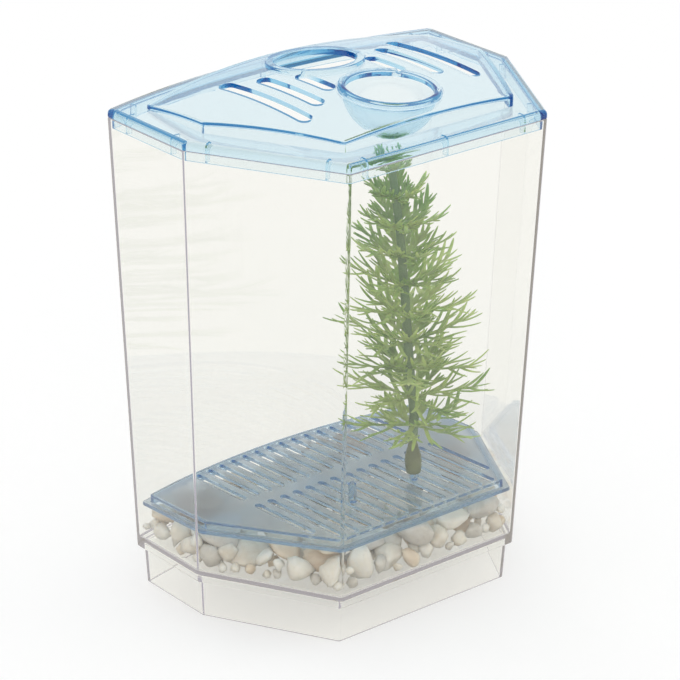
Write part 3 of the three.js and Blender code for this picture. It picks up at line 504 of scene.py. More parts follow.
def frosted_below(tree, clear, frost):
    """The roughness clear, raised to frost where the outward normal, which is the seen normal turned
    back on inner hits, points down."""
    seen = make(tree, "NewGeometry")
    height = make(tree, "SeparateXYZ", Vector=seen["Normal"])["Z"]
    side = calculate(tree, "MULTIPLY_ADD", seen["Backfacing"], -2.0, 1.0)
    outward = calculate(tree, "MULTIPLY", height, side)
    return calculate(tree, "MAXIMUM", clear, spread(tree, outward, FROST_STARTS, FROST_FULL, 0.0, frost))


def clear_plastic(name, tint, rubbed, deep, density, shade, painted_edge_glow, bump=0.02, frost=0.0):
    """Glass tinted from tint to rubbed, filled with a volume of colour deep, and frosted on its
    underside. Lamps pass it as shade, and a ray that has been mirrored or bent too often ends in a
    painted glow of the given edge colour, which stands in for the light it would carry out."""
    material, tree = new_material(name)
    surface = make(tree, "Group", {"node_tree": surface_group}, Least_Rough=0.005, Most_Rough=0.04)
    roughness = surface["Roughness"]
    if frost:
        roughness = frosted_below(tree, roughness, frost)
    colour = blend(tree, surface["Mist"], (*tint, 1), (*rubbed, 1))
    relief = make(tree, "Bump", Height=surface["Height"], Strength=bump, Distance=0.001)
    glass = make(
        tree, "BsdfPrincipled", Base_Color=colour, Roughness=roughness,
        Normal=relief[0], IOR=PLASTIC_IOR, Transmission_Weight=1.0,
    )[0]
    path = make(tree, "LightPath")
    # Painted edge light: where a ray has been mirrored or bent too often, a flat glow in the edge colour
    # stands in for the light it would carry out.
    mirrored = calculate(tree, "GREATER_THAN", path["Glossy Depth"], LAST_MIRROR)
    bent = calculate(tree, "GREATER_THAN", path["Ray Depth"], LAST_TURN)
    caught = calculate(tree, "MAXIMUM", mirrored, bent)
    glow = make(tree, "Emission", Color=(*painted_edge_glow, 1), Strength=1.0)[0]
    open_way = make(tree, "BsdfTransparent", Color=(*shade, 1))[0]
    inner = either(tree, path["Is Diffuse Ray"], either(tree, caught, glass, glow), open_way)
    outer = either(tree, path["Is Shadow Ray"], inner, open_way)
    depth = make(tree, "VolumeAbsorption", Color=(*deep, 1), Density=density)
    make(tree, "OutputMaterial", Surface=outer, Volume=depth[0])
    return material


# The last colour of each finish is painted edge light: the glow that ends rays caught inside the plastic.
tank_plastic = clear_plastic(
    "tank_plastic", tint=(0.975, 0.972, 0.95), rubbed=(0.955, 0.952, 0.93), deep=(0.5, 0.45, 0.1),
    density=11.0, shade=(0.995, 0.99, 0.97), painted_edge_glow=(0.46, 0.44, 0.52), bump=0.004,
)
lid_plastic = clear_plastic(
    "lid_plastic", tint=(0.985, 0.99, 0.995), rubbed=(0.96, 0.975, 0.985), deep=(0.02, 0.60, 0.835),
    density=116.0, shade=(0.88, 0.95, 0.98), painted_edge_glow=(0.18, 0.45, 0.64),
)
plate_plastic = clear_plastic(
    "plate_plastic", tint=(0.94, 0.955, 0.975), rubbed=(0.90, 0.925, 0.95), deep=(0.08, 0.52, 0.80),
    density=158.0, shade=(0.89, 0.93, 0.97), painted_edge_glow=(0.26, 0.46, 0.64), bump=0.005, frost=0.5,
)
print("clear finishes", tank_plastic.name, lid_plastic.name, plate_plastic.name)

# %% [markdown]
# ## Tank
# One moulding: hollow inset base, a step, then tall walls that lean out to the rim. A solid block
# with a Solidify modifier would thin the leaning walls at their corners. Here the whole skin is
# a single path carried round the outline, so walls keep their thickness everywhere.

# %% Tank
WALL, TAPER, STEP_Z, LEDGE, DRAFT = 1.6, 6.3, 15.3, 2.1, 0.8
FLOOR_Z, FLOOR_THICKNESS = 19.3, 2.0
WALL_LEVELS, WALL_START, WALL_END = 9, 12, 8
CAP_SHARES, CAP_EDGE, FLOOR_EDGE = (0.03, 0.3, 0.6, 0.85), 2, 3


def lean_at(z):
    """How far the tank's outer face has moved in at a height."""
    return TAPER * (RIM_Z - z) / (RIM_Z - STEP_Z)


def tank_skin():
    """Floor from below, the hollow base, foot, step, wall, rim, inner wall and floor, in that order;
    sizes are the rounds at the corners of the path, in the same order."""
    step_inset = TAPER + LEDGE
    foot_inset = step_inset + DRAFT
    under = FLOOR_Z - FLOOR_THICKNESS
    hollow = step_inset + WALL - DRAFT * (under - STEP_Z) / STEP_Z
    floor_inset = lean_at(FLOOR_Z) + WALL
    heights = np.linspace(STEP_Z + WALL_START, RIM_Z - WALL_END, WALL_LEVELS)
    wall_out = [(lean_at(z), z, OUTER_CORNER) for z in heights]
    wall_in = [(lean_at(z) + WALL, z, INNER_CORNER) for z in heights[:0:-1]]
    path = [
        (hollow + CAP_EDGE, under, INNER_CORNER), (hollow, under, INNER_CORNER),
        (foot_inset + WALL, 0, INNER_CORNER), (foot_inset, 0, OUTER_CORNER),
        (step_inset, STEP_Z, OUTER_CORNER), (TAPER, STEP_Z, OUTER_CORNER),
        *wall_out,
        (0, RIM_Z, OUTER_CORNER), (WALL, RIM_Z, INNER_CORNER),
        *wall_in,
        (floor_inset, FLOOR_Z, INNER_CORNER), (floor_inset + FLOOR_EDGE, FLOOR_Z, INNER_CORNER),
    ]
    sizes = [0, 0.8, 0.4, 0.5, 0.35, 0.6, *[0] * len(wall_out), 0.35, 0.35, *[0] * len(wall_in), 1.2, 0]
    return moulding("clear_tank", path, sizes, CAP_SHARES)


placed("clear_tank", tank_skin(), "tank", tank_plastic, "tank_clear", ["tank"])

# %% [markdown]
# ## Lid
# The lid is one moulding too: a plug that drops into the tank, a soft square edge, a flat ledge and
# a domed panel. The dome is a very shallow bowl, so its height is a sum of two squares. Vents, the
# rear hole with its collar and the cup's seat could be woven into the rings, but no ring follows
# them, so they are cut afterwards, as a mould's cores would.

# %% Lid
LID_Z = 190.0
LID_WALL, EDGE_ROUND, EDGE_BELOW, SEAT_AIR = 1.7, 2.0, 0.6, 0.15
PLUG_GAP, PLUG_WALL, PLUG_DEPTH = 0.3, 1.2, 3.9
RIB_DEPTH, RIB_WIDTH, RIB_PLACE, RIB_STEP = 2.2, 0.9, 7.5, 0.15
PANEL_INSET, PANEL_CORNER, PANEL_ROUND, LEDGE_MIDDLE = 11.0, 2.4, 0.5, 5
UNDER_CORNER, UNDER_ROUND, UNDER_STEP = 1.2, 0.6, 0.4
DOME_RISE, DOME_RADIUS_X, DOME_RADIUS_Y, DOME_CENTRE_Y = 9.6, 387.0, 240.0, -1.9
DOME_SHARES = (0.03, 0.12, 0.24, 0.36, 0.48, 0.6, 0.7, 0.8, 0.9, 0.97)
VENTS = ((16.3, 0.4), (27.7, 0.71), (39.1, 1.0))
VENT_MIDDLE, VENT_LONGEST, VENT_WIDTH, CUT_HEIGHT = 0.2, 49.5, 5.7, 20
HOLE_Y, HOLE_RADIUS, COLLAR_WIDTH, COLLAR_RISE = 20.3, 15.5, 2.9, 0.6
AXIS, ROUND_STEPS = 0.1, 96


def dome(x, y):
    """The dome's outer height: its top less x^2 / 2Rx and (y - centre)^2 / 2Ry."""
    return LID_Z + DOME_RISE - x**2 / (2 * DOME_RADIUS_X) - (y - DOME_CENTRE_Y) ** 2 / (2 * DOME_RADIUS_Y)


def under_dome(drop):
    """The dome's height less drop, as a function of x and y."""
    return lambda x, y: dome(x, y) - drop


def quarter_round(size, steps):
    """The two distances to the legs of a round edge: (size (1 - cos a), size (1 - sin a))."""
    return [(size * (1 - cos(a)), size * (1 - sin(a))) for a in np.linspace(0, pi / 2, steps)]


def on_dome(mesh, y):
    """Lays a mesh on the dome at a place on the middle line, leaning with the surface."""
    return moved(mesh, -atan((y - DOME_CENTRE_Y) / DOME_RADIUS_Y), (0, y, dome(0, y)))


def lid_rings():
    """Underside of the dome, plug, seat on the rim, outer edge, ledge, then the dome from outside. The
    seat keeps a hair of air over the rim, as two such faces never touch all round."""
    under, seat, plug_low = LID_Z - LID_WALL, RIM_Z + SEAT_AIR, RIM_Z - PLUG_DEPTH
    plug_out = WALL + PLUG_GAP
    plug_in, low_out = plug_out + PLUG_WALL, lean_at(plug_low) + plug_out
    inner, top_inset = PANEL_INSET + LID_WALL, PANEL_INSET + PANEL_ROUND
    ceiling = under_dome(LID_WALL)
    rings = [level_ring(inner + UNDER_ROUND, ceiling, UNDER_CORNER, share) for share in DOME_SHARES]
    for drop, aside in quarter_round(UNDER_ROUND, 4):
        rings.append(level_ring(inner + aside, under_dome(LID_WALL + drop), UNDER_CORNER))
    path = [
        (inner, under + UNDER_STEP, UNDER_CORNER), (inner, under, UNDER_CORNER),
        (plug_in, under, INNER_CORNER), (plug_in, plug_low, INNER_CORNER),
        (low_out, plug_low, INNER_CORNER), (plug_out, seat, INNER_CORNER), (0, seat, OUTER_CORNER),
        (0, LID_Z, OUTER_CORNER), (LEDGE_MIDDLE, LID_Z, OUTER_CORNER), (PANEL_INSET, LID_Z, PANEL_CORNER),
    ]
    section = rounded(path, [0, 0.15, 0.3, 0.2, 0.2, 0.25, EDGE_BELOW, EDGE_ROUND, 0, 0], 5)
    rings += [level_ring(*row) for row in section]
    for aside, drop in quarter_round(PANEL_ROUND, 5):
        rings.append(level_ring(PANEL_INSET + aside, under_dome(drop), PANEL_CORNER))
    rings += [level_ring(top_inset, dome, PANEL_CORNER, share) for share in DOME_SHARES[::-1]]
    return rings


def plug_ribs():
    """Small upright blocks on the inner face of the plug, near the ends of each wall and midway on
    long ones."""
    plug_in = WALL + PLUG_GAP + PLUG_WALL
    low, high = RIM_Z - PLUG_DEPTH + RIB_STEP, LID_Z - LID_WALL / 2
    ring = corners(plug_in)
    places = []
    for a, b in zip(ring[:-1], ring[1:]):
        length = np.linalg.norm(b - a)
        stops = [RIB_PLACE, length - RIB_PLACE] + ([length / 2] if length > HALF_WIDTH else [])
        places += [(*(a + (b - a) * stop / length), atan2(*(b - a)[::-1])) for stop in stops]
    end = ring[5, 0] - RIB_PLACE
    radius = BACK_RADIUS - plug_in
    for x in (-end, 0.0, end):
        places.append((x, BACK_CENTRE + sqrt(radius**2 - x**2), pi - asin(x / radius)))
    half_deep = (RIB_DEPTH + PLUG_WALL / 2) / 2
    block = np.array([(-1, -1), (1, -1), (1, 1), (-1, 1)]) * (RIB_WIDTH / 2, half_deep)
    block += (0, half_deep - PLUG_WALL / 2)
    for x, y, angle in places:
        turn = np.array([(cos(angle), sin(angle)), (-sin(angle), cos(angle))])
        yield prism("rib", block @ turn + (x, y), low, high)


def vent_blocks():
    """Three slots on each side, longer towards the ends."""
    for x, share in VENTS:
        for side in (-1, 1):
            y0, y1 = VENT_MIDDLE + share * VENT_LONGEST / 2 * np.array([-1, 1])
            yield stadium("vent", side * x, y0, y1, VENT_WIDTH, LID_Z, LID_Z + CUT_HEIGHT)


def disc(radius, bottom, top):
    """A plain round block to cut with."""
    return lathe("disc", [(AXIS, bottom), (radius, bottom), (radius, top), (AXIS, top)], ROUND_STEPS)


print("dome top", round(float(dome(0, DOME_CENTRE_Y)), 1), "mm, rings", len(lid_rings()))

# %% Feeding cup sizes, which the lid's seat follows
CUP_Y, CUP_RADIUS, CUP_WALL, CUP_GAP = -21.5, 16.0, 1.2, 0.35
FLANGE_REACH, FLANGE_THICKNESS, SEAT_MARGIN, SEAT_DEPTH, SEAT_GAP = 1.3, 0.8, 0.6, 0.75, 0.3
LIP_WIDTH, LIP_RISE, LIP_MIDDLE, LIP_SWEEP = 2.1, 1.6, radians(218), radians(205)
LIP_ROUND, LIP_STEPS, LIP_FALL, NOTCH = 0.8, 61, 0.35, 1.5
cup_hole = CUP_RADIUS + CUP_WALL + CUP_GAP
flange = cup_hole + FLANGE_REACH
print("cup hole", round(cup_hole, 2), "mm and flange", round(flange, 2), "mm in radius")

# %% Lid, cut and placed
COLLAR_ROUND, CUT_REACH = 0.9, 5


def lid_mesh():
    """The rings, joined with the collar and the ribs, then cut by the hole, the seat and the vents."""
    wide = HOLE_RADIUS + COLLAR_WIDTH
    path = [(AXIS, COLLAR_RISE), (wide, COLLAR_RISE), (wide, -LID_WALL), (AXIS, -LID_WALL)]
    edge = rounded(path, [0, COLLAR_RISE * COLLAR_ROUND, 0, 0])[::-1]
    collar = on_dome(lathe("collar", edge, ROUND_STEPS), HOLE_Y)
    hole = on_dome(disc(HOLE_RADIUS, -CUT_REACH, CUT_REACH), HOLE_Y)
    seat = on_dome(disc(flange + SEAT_MARGIN, -SEAT_DEPTH, CUT_REACH), CUP_Y)
    well = on_dome(disc(cup_hole, -CUT_REACH, CUT_REACH), CUP_Y)
    steps = [("UNION", mesh) for mesh in (collar, *plug_ribs())]
    steps += [("DIFFERENCE", mesh) for mesh in (hole, seat, well, *vent_blocks())]
    return carved("domed_lid", skin("lid", lid_rings()), steps)


placed("domed_lid", lid_mesh(), "lid", lid_plastic, "lid_blue", ["lid"])

# %% [markdown]
# ## Feeding cup
# A thin bowl with a flange that rests in the lid's seat, a raised finger lip that runs a little
# more than half way round, and a pouring notch across from it. The bowl is turned on a lathe. The
# lip isn't, since it stops short of a full turn, so its rounded section is carried along an arc.

# %% Feeding cup
BOWL_START, BOWL_STEPS = 0.02, 19


def bowl(radius, z, turns):
    """A quarter of a circle as a section: (radius sin a, z - radius cos a)."""
    return [(radius * sin(a), z - radius * cos(a)) for a in turns]


def finger_lip(low):
    """A rounded section carried along an arc round the cup; its height falls a little at both ends, as
    1 - fall t^10."""
    outer = flange - CUP_GAP
    path = [(outer - LIP_WIDTH, 0), (outer, 0), (outer, 1), (outer - LIP_WIDTH, 1)]
    section = rounded(path, [0, 0, LIP_ROUND, LIP_ROUND])
    t = np.linspace(-1, 1, LIP_STEPS)
    rise = (LIP_RISE + FLANGE_THICKNESS / 2) * (1 - LIP_FALL * t**10)
    plan = section[:, :1] * around(LIP_MIDDLE + t * LIP_SWEEP / 2)[:, None]
    return skin("lip", np.dstack([plan, low + section[:, 1] * rise[:, None]])[:, ::-1])


def pouring_notch(top):
    """A thin rod through the rim, across from the finger lip, to cut the notch with."""
    across = LIP_MIDDLE + pi
    rod = lathe("notch", [(AXIS / 2, 0), (NOTCH, 0), (NOTCH, flange), (AXIS / 2, flange)], steps=32)
    rod.transform(Matrix.Rotation(across, 4, "Z") @ Matrix.Rotation(pi / 2, 4, "Y"))
    return moved(rod, 0, (*around(across) * flange / 2, top + NOTCH / 3))


def cup_mesh():
    """The bowl with its flange in one profile, from the bottom outside to the bottom inside."""
    seat = SEAT_GAP - SEAT_DEPTH
    top = seat + FLANGE_THICKNESS
    turns = np.linspace(BOWL_START, pi / 2, BOWL_STEPS)
    outside = bowl(CUP_RADIUS + CUP_WALL, seat, turns)
    inside = bowl(CUP_RADIUS, seat, turns[::-1])
    path = [outside[-1], (flange, seat), (flange, top), (CUP_RADIUS, top), inside[0]]
    rim = rounded(path, [0, 0.2, 0.3, 0.3, 0])
    body = lathe("bowl", [*outside[:-1], *rim, *inside[1:]], ROUND_STEPS)
    steps = [("UNION", finger_lip(top - FLANGE_THICKNESS / 2)), ("DIFFERENCE", pouring_notch(top))]
    return on_dome(carved("feeding_bowl", body, steps), CUP_Y)


placed("feeding_bowl", cup_mesh(), "feeding_cup", lid_plastic, "lid_blue", ["feeding_cup"])

# %% [markdown]
# ## Slotted plate
# A tray turned upside down: a flat top with two rows of slots, a short skirt and a narrow flange
# that rests on the stones. Two pegs stand on it, and the plant is pushed on one of them. The slots
# could be gaps between bars, but a moulding has one surface, so they are cut from the tray.

# %% Slotted plate
PLATE_PLACE, PLATE_TILT = (0.8, 0.7, 38.5), radians(3.3)
PLATE_GAP, PLATE_WALL, PLATE_RISE, FLANGE_WIDTH, PLATE_CORNER = 1.4, 1.4, 4.2, 2.4, 1.2
SLOTS, SLOT_PITCH, SLOT_WIDTH, SLOT_MARGIN, SPINE_Y, SPINE_WIDTH = 15, 6.04, 2.8, 0.5, 4.6, 6.4
PEG_X, PEG_Y, PEG_RADIUS, PEG_HEIGHT, PEG_EDGE = 15.0, -20.9, 1.55, 7.8, 0.5
PLATE_SHARES, SLOT_CUT = (0.03, 0.4, 0.8), 2
flange_inset = lean_at(PLATE_PLACE[2]) + WALL + PLATE_GAP
plateau = flange_inset + FLANGE_WIDTH


def plate_blank():
    """The tray's section from the middle of the underside, round the skirt and flange, to the middle
    of the top."""
    c, inner, flange_top = PLATE_CORNER, plateau + PLATE_WALL, PLATE_WALL - PLATE_RISE
    path = [
        (inner + CAP_EDGE, -PLATE_WALL, c), (inner, -PLATE_WALL, c), (inner, -PLATE_RISE, c),
        (flange_inset, -PLATE_RISE, c), (flange_inset, flange_top, c), (plateau, flange_top, c),
        (plateau, 0, c), (plateau + CAP_EDGE, 0, c),
    ]
    return moulding("plate", path, [0, 0.3, 0.25, 0.3, 0.3, 0.35, 0.5, 0], PLATE_SHARES)


def slot_blocks():
    """Both rows of slots: each ends a margin short of the skirt, at the front wall's line and the back
    wall's arc."""
    limit = plateau + PLATE_WALL + SLOT_MARGIN
    front, side = corners(limit)[3:5]
    for k in range(SLOTS):
        x = (k - (SLOTS - 1) / 2) * SLOT_PITCH
        edge = abs(x) + SLOT_WIDTH / 2
        low = np.interp(edge, [0, front[0], side[0]], [front[1], front[1], side[1]])
        high = BACK_CENTRE + sqrt((BACK_RADIUS - limit) ** 2 - edge**2)
        for y0, y1 in ((low, SPINE_Y - SPINE_WIDTH / 2), (SPINE_Y + SPINE_WIDTH / 2, high)):
            yield stadium("slot", x, y0, y1, SLOT_WIDTH, -PLATE_WALL - SLOT_CUT, SLOT_CUT, steps=8)


def peg(x):
    """A small post with a broken edge, sunk half way into the plate."""
    root, shoulder = -PLATE_WALL / 2, PEG_HEIGHT - PEG_EDGE
    profile = [
        (AXIS / 2, root), (PEG_RADIUS, root), (PEG_RADIUS, shoulder),
        (PEG_RADIUS - PEG_EDGE, PEG_HEIGHT), (AXIS / 2, PEG_HEIGHT),
    ]
    return moved(lathe("peg", profile, steps=24), 0, (x, PEG_Y, 0))


def plate_mesh():
    """The blank less its slots, with both pegs, leaning on the stones."""
    steps = [("DIFFERENCE", block) for block in slot_blocks()]
    steps += [("UNION", peg(x)) for x in (-PEG_X, PEG_X)]
    return moved(carved("slotted_tray", plate_blank(), steps), -PLATE_TILT, PLATE_PLACE)


placed("slotted_tray", plate_mesh(), "slotted_plate", plate_plastic, "plate_blue", ["slotted_plate"])

# %% [markdown]
# ## Plant finishes
# The water plant is soft polythene, matte green with a faint sheen, and slightly different in
# each whorl. The foot is a darker olive and the stem a grey green. One colour would look painted,
# so slow noise drifts between three greens, and thin leaves let some light through.

# %% Plant materials
GRAIN_SIZE, SHEEN_SPREAD, TIP_AT = 700.0, 0.1, 0.92


def grainy_body(tree, colour, roughness, grain, bump, glow, reach, depth):
    """A solid finish with a fine grain in relief, where light goes in by glow and comes out further on:
    reach is for red, green and blue, times the depth in metres."""
    relief = make(tree, "Bump", Height=grain, Strength=bump, Distance=0.0004)[0]
    body = make(
        tree, "BsdfPrincipled", Base_Color=colour, Roughness=roughness, Normal=relief,
        Subsurface_Weight=glow, Subsurface_Radius=reach, Subsurface_Scale=depth,
    )
    make(tree, "OutputMaterial", Surface=body[0])


def soft_plastic(name, dark, light, tip, rough=0.45, bump=0.15, patch=90.0, glow=0.0):
    """Greens mixed by slow noise, with a fine grain in the bump and the roughness, and light let
    through by glow."""
    material, tree = new_material(name)
    place = make(tree, "TexCoord")["Object"]
    slow, fine = noise(tree, place, patch, 3.0), noise(tree, place, GRAIN_SIZE, 3.0, 0.6)
    greens = make(tree, "ValToRGB", Fac=spread(tree, slow, 0.35, 0.65))
    ramp = greens[0].node.color_ramp.elements
    ramp[0].color, ramp[1].color = dark, light
    ramp.new(TIP_AT).color = tip
    sheen = spread(tree, fine, 0.0, 1.0, rough - SHEEN_SPREAD, rough + SHEEN_SPREAD)
    grainy_body(tree, greens[0], sheen, fine, bump, glow, reach=(0.7, 1.0, 0.3), depth=0.0015)
    return material


leaf_plastic = soft_plastic(
    "leaf_plastic", rgb(122, 158, 76), rgb(158, 192, 102), rgb(204, 222, 142), patch=48.0, glow=0.4
)
stem_plastic = soft_plastic("stem_plastic", rgb(100, 128, 92), rgb(116, 142, 104), rgb(128, 152, 114))
foot_plastic = soft_plastic("foot_plastic", rgb(84, 94, 58), rgb(112, 120, 80), rgb(124, 130, 92))
whorl_names = sorted((n for n in nodes if n.startswith("leaf_whorl_")), key=lambda n: int(n.split("_")[-1]))
print("plant finishes for", len(whorl_names), "whorls")

# %% [markdown]
# ## Leaves
# Each whorl is a ring of flat fronds. A frond is a rib with pointed blades on both sides, and the
# longer blades fork again. Curves with a bevel would do for a few blades, but there are over a
# thousand, so all blades of a whorl are worked out together, as arrays.

# %% Stem line
STEM_SAMPLES, STEM_NEAR, LINE_LOW, LINE_HIGH = 12, 18, 4, 1.5


def points_of(node):
    """A CAD node's vertices in millimetres."""
    mesh = nodes[node].data
    flat = np.empty(len(mesh.vertices) * 3)
    mesh.vertices.foreach_get("co", flat)
    return flat.reshape(-1, 3) / MM


def stem_line():
    """The middle of the stem at evenly spaced heights: the middle of the box of the CAD stem's
    vertices near each height."""
    points = points_of("plant_stem")
    heights = np.linspace(points[:, 2].min() + LINE_LOW, points[:, 2].max() - LINE_HIGH, STEM_SAMPLES)
    near = [points[np.argsort(abs(points[:, 2] - z))[:STEM_NEAR]] for z in heights]
    return np.array([(group[:, :2].min(0) + group[:, :2].max(0)) / 2 for group in near]), heights


stem_plan, stem_heights = stem_line()


def stem_at(z):
    """The stem's middle at one height, or at an array of heights."""
    return np.stack([np.interp(z, stem_heights, stem_plan[:, k]) for k in (0, 1)], -1)


print("stem leans by", np.ptp(stem_plan, axis=0).round(1), "mm")

# %% Blades
BLADE_STEPS = np.array([0, 0.25, 0.5, 0.72, 0.88, 0.96])
BLADE_THICKNESS, BLADE_LEAST = 0.3, 0.12


def blades(root, heading, length, width, up, bow):
    """Many pointed blades: P(s) = root + heading length s + up bow length s^2, half as wide as
    width sqrt(1-s) (0.8 + 0.7s) and lens-shaped in section. Root, heading and up have one row for
    each blade."""
    s = BLADE_STEPS
    across = unit(np.cross(up, heading))
    normal = np.cross(heading, across)
    run = root[:, None] + heading[:, None] * (length[:, None] * s)[..., None]
    run += up[:, None] * (bow * length[:, None] * s**2)[..., None]
    half = (width[:, None] * np.sqrt(1 - s) * (0.8 + 0.7 * s))[..., None] / 2
    thick = half * BLADE_THICKNESS + BLADE_LEAST
    side, rise = across[:, None] * half, normal[:, None] * thick
    rings = np.stack([run - side, run - rise, run + side, run + rise], 2)
    tip = root + heading * length[:, None] + up * (bow * length)[:, None]
    return rings, tip


def blade_faces(rings, tip):
    """Four-sided faces along each blade, a fan to its tip and one face across its root."""
    count, levels = rings.shape[:2]
    size = levels * 4 + 1
    j, last = np.arange(4), (levels - 1) * 4
    fan = np.stack([last + j, last + (j + 1) % 4, np.full(4, size - 1)], 1)
    start = (np.arange(count) * size)[:, None, None]
    points = np.concatenate([rings.reshape(count, -1, 3), tip[:, None]], 1).reshape(-1, 3)
    ends = start[:, 0] + np.array([3, 2, 1, 0])
    groups = [(start + quads_between(levels, 4)).reshape(-1, 4), (start + fan).reshape(-1, 3), ends]
    return points, [face for group in groups for face in group.tolist()]


def turned(vectors, up, angle):
    """Turns each vector about its own up by angle."""
    c, s = np.cos(angle)[:, None], np.sin(angle)[:, None]
    return vectors * c + np.cross(up, vectors) * s


def leaning(vectors, up, amount):
    """Each vector with some of its up added, at length one again."""
    return unit(vectors + up * amount[:, None])


print("points on a blade", len(BLADE_STEPS) * 4 + 1)

# %% Fronds
FRONDS, FULL_REACH = 5, 17.0
RIB_WIDTH_FULL, SIDE_WIDTH, FORK_WIDTH = 2.1, 1.85, 1.7
RIB_SHARES = np.array([0.2, 0.37, 0.54, 0.7])
HAND_STEP, FORKED, FORK_PLACE, FORK_LENGTH = 0.07, 2, 0.42, 0.6
BLADE_SPREAD, FORK_SPREAD, SIDE_BOW, SLOPE_SHARE = radians(40), radians(36), 0.24, 0.5
RIB_RANGE, LENGTH_RANGE, ANGLE_RANGE = (0.8, 0.98), (0.85, 1.12), (-0.12, 0.12)
LIFT_RANGE, FORK_LIFT, FORK_BOW = (-0.45, 0.3), (-0.45, 0.35), (-0.1, 0.3)


def frond_blades(centre, azimuth, reach, rise, rng):
    """Ribs out of the hub, side blades out of the ribs and forks out of the side blades, as one set of
    arrays. At a share t of the rib a side blade's angle goes with 1.2 - 0.7t, its length with
    0.64 - 0.42t."""
    count = len(azimuth)
    slope = rise / reach * SLOPE_SHARE
    out = unit(np.stack([np.cos(azimuth), np.sin(azimuth), np.full(count, slope)], 1))
    side = np.stack([-np.sin(azimuth), np.cos(azimuth), np.zeros(count)], 1)
    up = np.cross(out, side)
    rib = reach * rng.uniform(*RIB_RANGE, count)
    small = min(reach / FULL_REACH, 1)
    wide, broad, slim = (np.full(count, w * small) for w in (RIB_WIDTH_FULL, SIDE_WIDTH, FORK_WIDTH))
    sets = [(centre + np.zeros((count, 3)), out, rib, wide, up, slope)]
    for k, share in enumerate(RIB_SHARES):
        for hand in (-1, 1):
            place = share + HAND_STEP * (hand > 0)
            root = centre + out * (rib * place)[:, None] + up * (slope * rib * place**2)[:, None]
            angle = hand * (BLADE_SPREAD * (1.2 - 0.7 * share) + rng.uniform(*ANGLE_RANGE, count))
            lift = rng.uniform(*LIFT_RANGE, count) + 2 * slope * place
            heading = leaning(turned(out, up, angle), up, lift)
            length = rib * (0.64 - 0.42 * share) * rng.uniform(*LENGTH_RANGE, count)
            sets.append((root, heading, length, broad, up, SIDE_BOW))
            if k < FORKED:
                bent = up * (SIDE_BOW * length * FORK_PLACE**2)[:, None]
                fork_root = root + heading * (length * FORK_PLACE)[:, None] + bent
                turn = np.full(count, -hand * FORK_SPREAD)
                fork = leaning(turned(heading, up, turn), up, rng.uniform(*FORK_LIFT, count))
                sets.append((fork_root, fork, length * FORK_LENGTH, slim, up, rng.uniform(*FORK_BOW)))
    parts = [blades(*one) for one in sets]
    return np.concatenate([p[0] for p in parts]), np.concatenate([p[1] for p in parts])


print("blades on a frond", 1 + len(RIB_SHARES) * 2 + FORKED * 2)

# %% Whorls
HUB_REACH, WHORL_TURN, WHORL_SEED = 3.4, radians(42), 40
REACH_SHARE, RISE_SHARE, LEAST_RISE = 0.98, 0.75, 0.5
SHORT_REACH, SHORT_RISE = 0.66, 0.36


def whorl_mesh(index, name):
    """Two tiers of fronds on the stem: long low ones, and short steep ones between them. Reach, rise
    and height come from the CAD whorl."""
    points = points_of(name)
    spokes = np.linalg.norm(points[:, :2] - stem_at(points[:, 2]), axis=1)
    height = points[spokes < HUB_REACH, 2].mean()
    centre = np.array([*stem_at(height), height])
    reach, rise = spokes.max() * REACH_SHARE, points[:, 2].max() - height
    rng = np.random.default_rng(WHORL_SEED + index)
    azimuth = index * WHORL_TURN + np.arange(FRONDS) * 2 * pi / FRONDS
    between = azimuth + pi / FRONDS
    long = frond_blades(centre, azimuth, reach, max(rise * RISE_SHARE, LEAST_RISE), rng)
    short = frond_blades(centre, between, reach * SHORT_REACH, reach * SHORT_RISE, rng)
    return new_mesh(name, *blade_faces(*(np.concatenate(pair) for pair in zip(long, short))))


for index, name in enumerate(whorl_names):
    placed(f"{name}_fronds", whorl_mesh(index, name), "plant", leaf_plastic, "leaf_green", [name], sharp=60)

# %% [markdown]
# ## Stem and foot
# The stem is one round tube that leans as the real one does, so its rings follow the middle line
# of the CAD stem. The foot is a turned bulb, hollow below for the peg, and leans with the plate.

# %% Stem and foot
STEM_RADIUS, STEM_NARROWING, STEM_LEVELS, STEM_SIDES = 1.9, 0.25, 90, 20
STEM_LOW_AIR, STEM_TOP_AIR = 0.3, 0.6
SPIGOT_RADIUS, SPIGOT_LENGTH = 0.85, 3.2
FOOT_STAND, FOOT_LENGTH, FOOT_RADIUS, SOCKET_DEPTH, SOCKET_GAP = 3.1, 13.6, 3.2, 5.0, 0.3
FOOT_STOPS = (0, 0.12, 0.34, 0.52, 0.72, 0.88, 1)
FOOT_SHARES = (0.84, 0.94, 1, 0.94, 0.7, 0.52, 0.48)
FOOT_BORE, FOOT_BORE_DEPTH, FOOT_SIDES = 1.3, 3.7, 40
FOOT_LEVELS, RING_HEIGHT, RING_PACE = 25, 0.02, 40


def stem_mesh():
    """A round tube whose middle follows the CAD stem and whose radius narrows evenly to the top, with
    a thin spigot at its foot."""
    low, high = box_of("plant_stem")[0][2] + STEM_LOW_AIR, box_of("plant_stem")[1][2] - STEM_TOP_AIR
    z = np.linspace(low, high, STEM_LEVELS)
    narrowing = 1 - STEM_NARROWING * (z - low) / (high - low)
    radius = np.where(z < low + SPIGOT_LENGTH, SPIGOT_RADIUS, STEM_RADIUS * narrowing)
    return lathe("stem", np.column_stack([radius, z]), STEM_SIDES, stem_at(z))


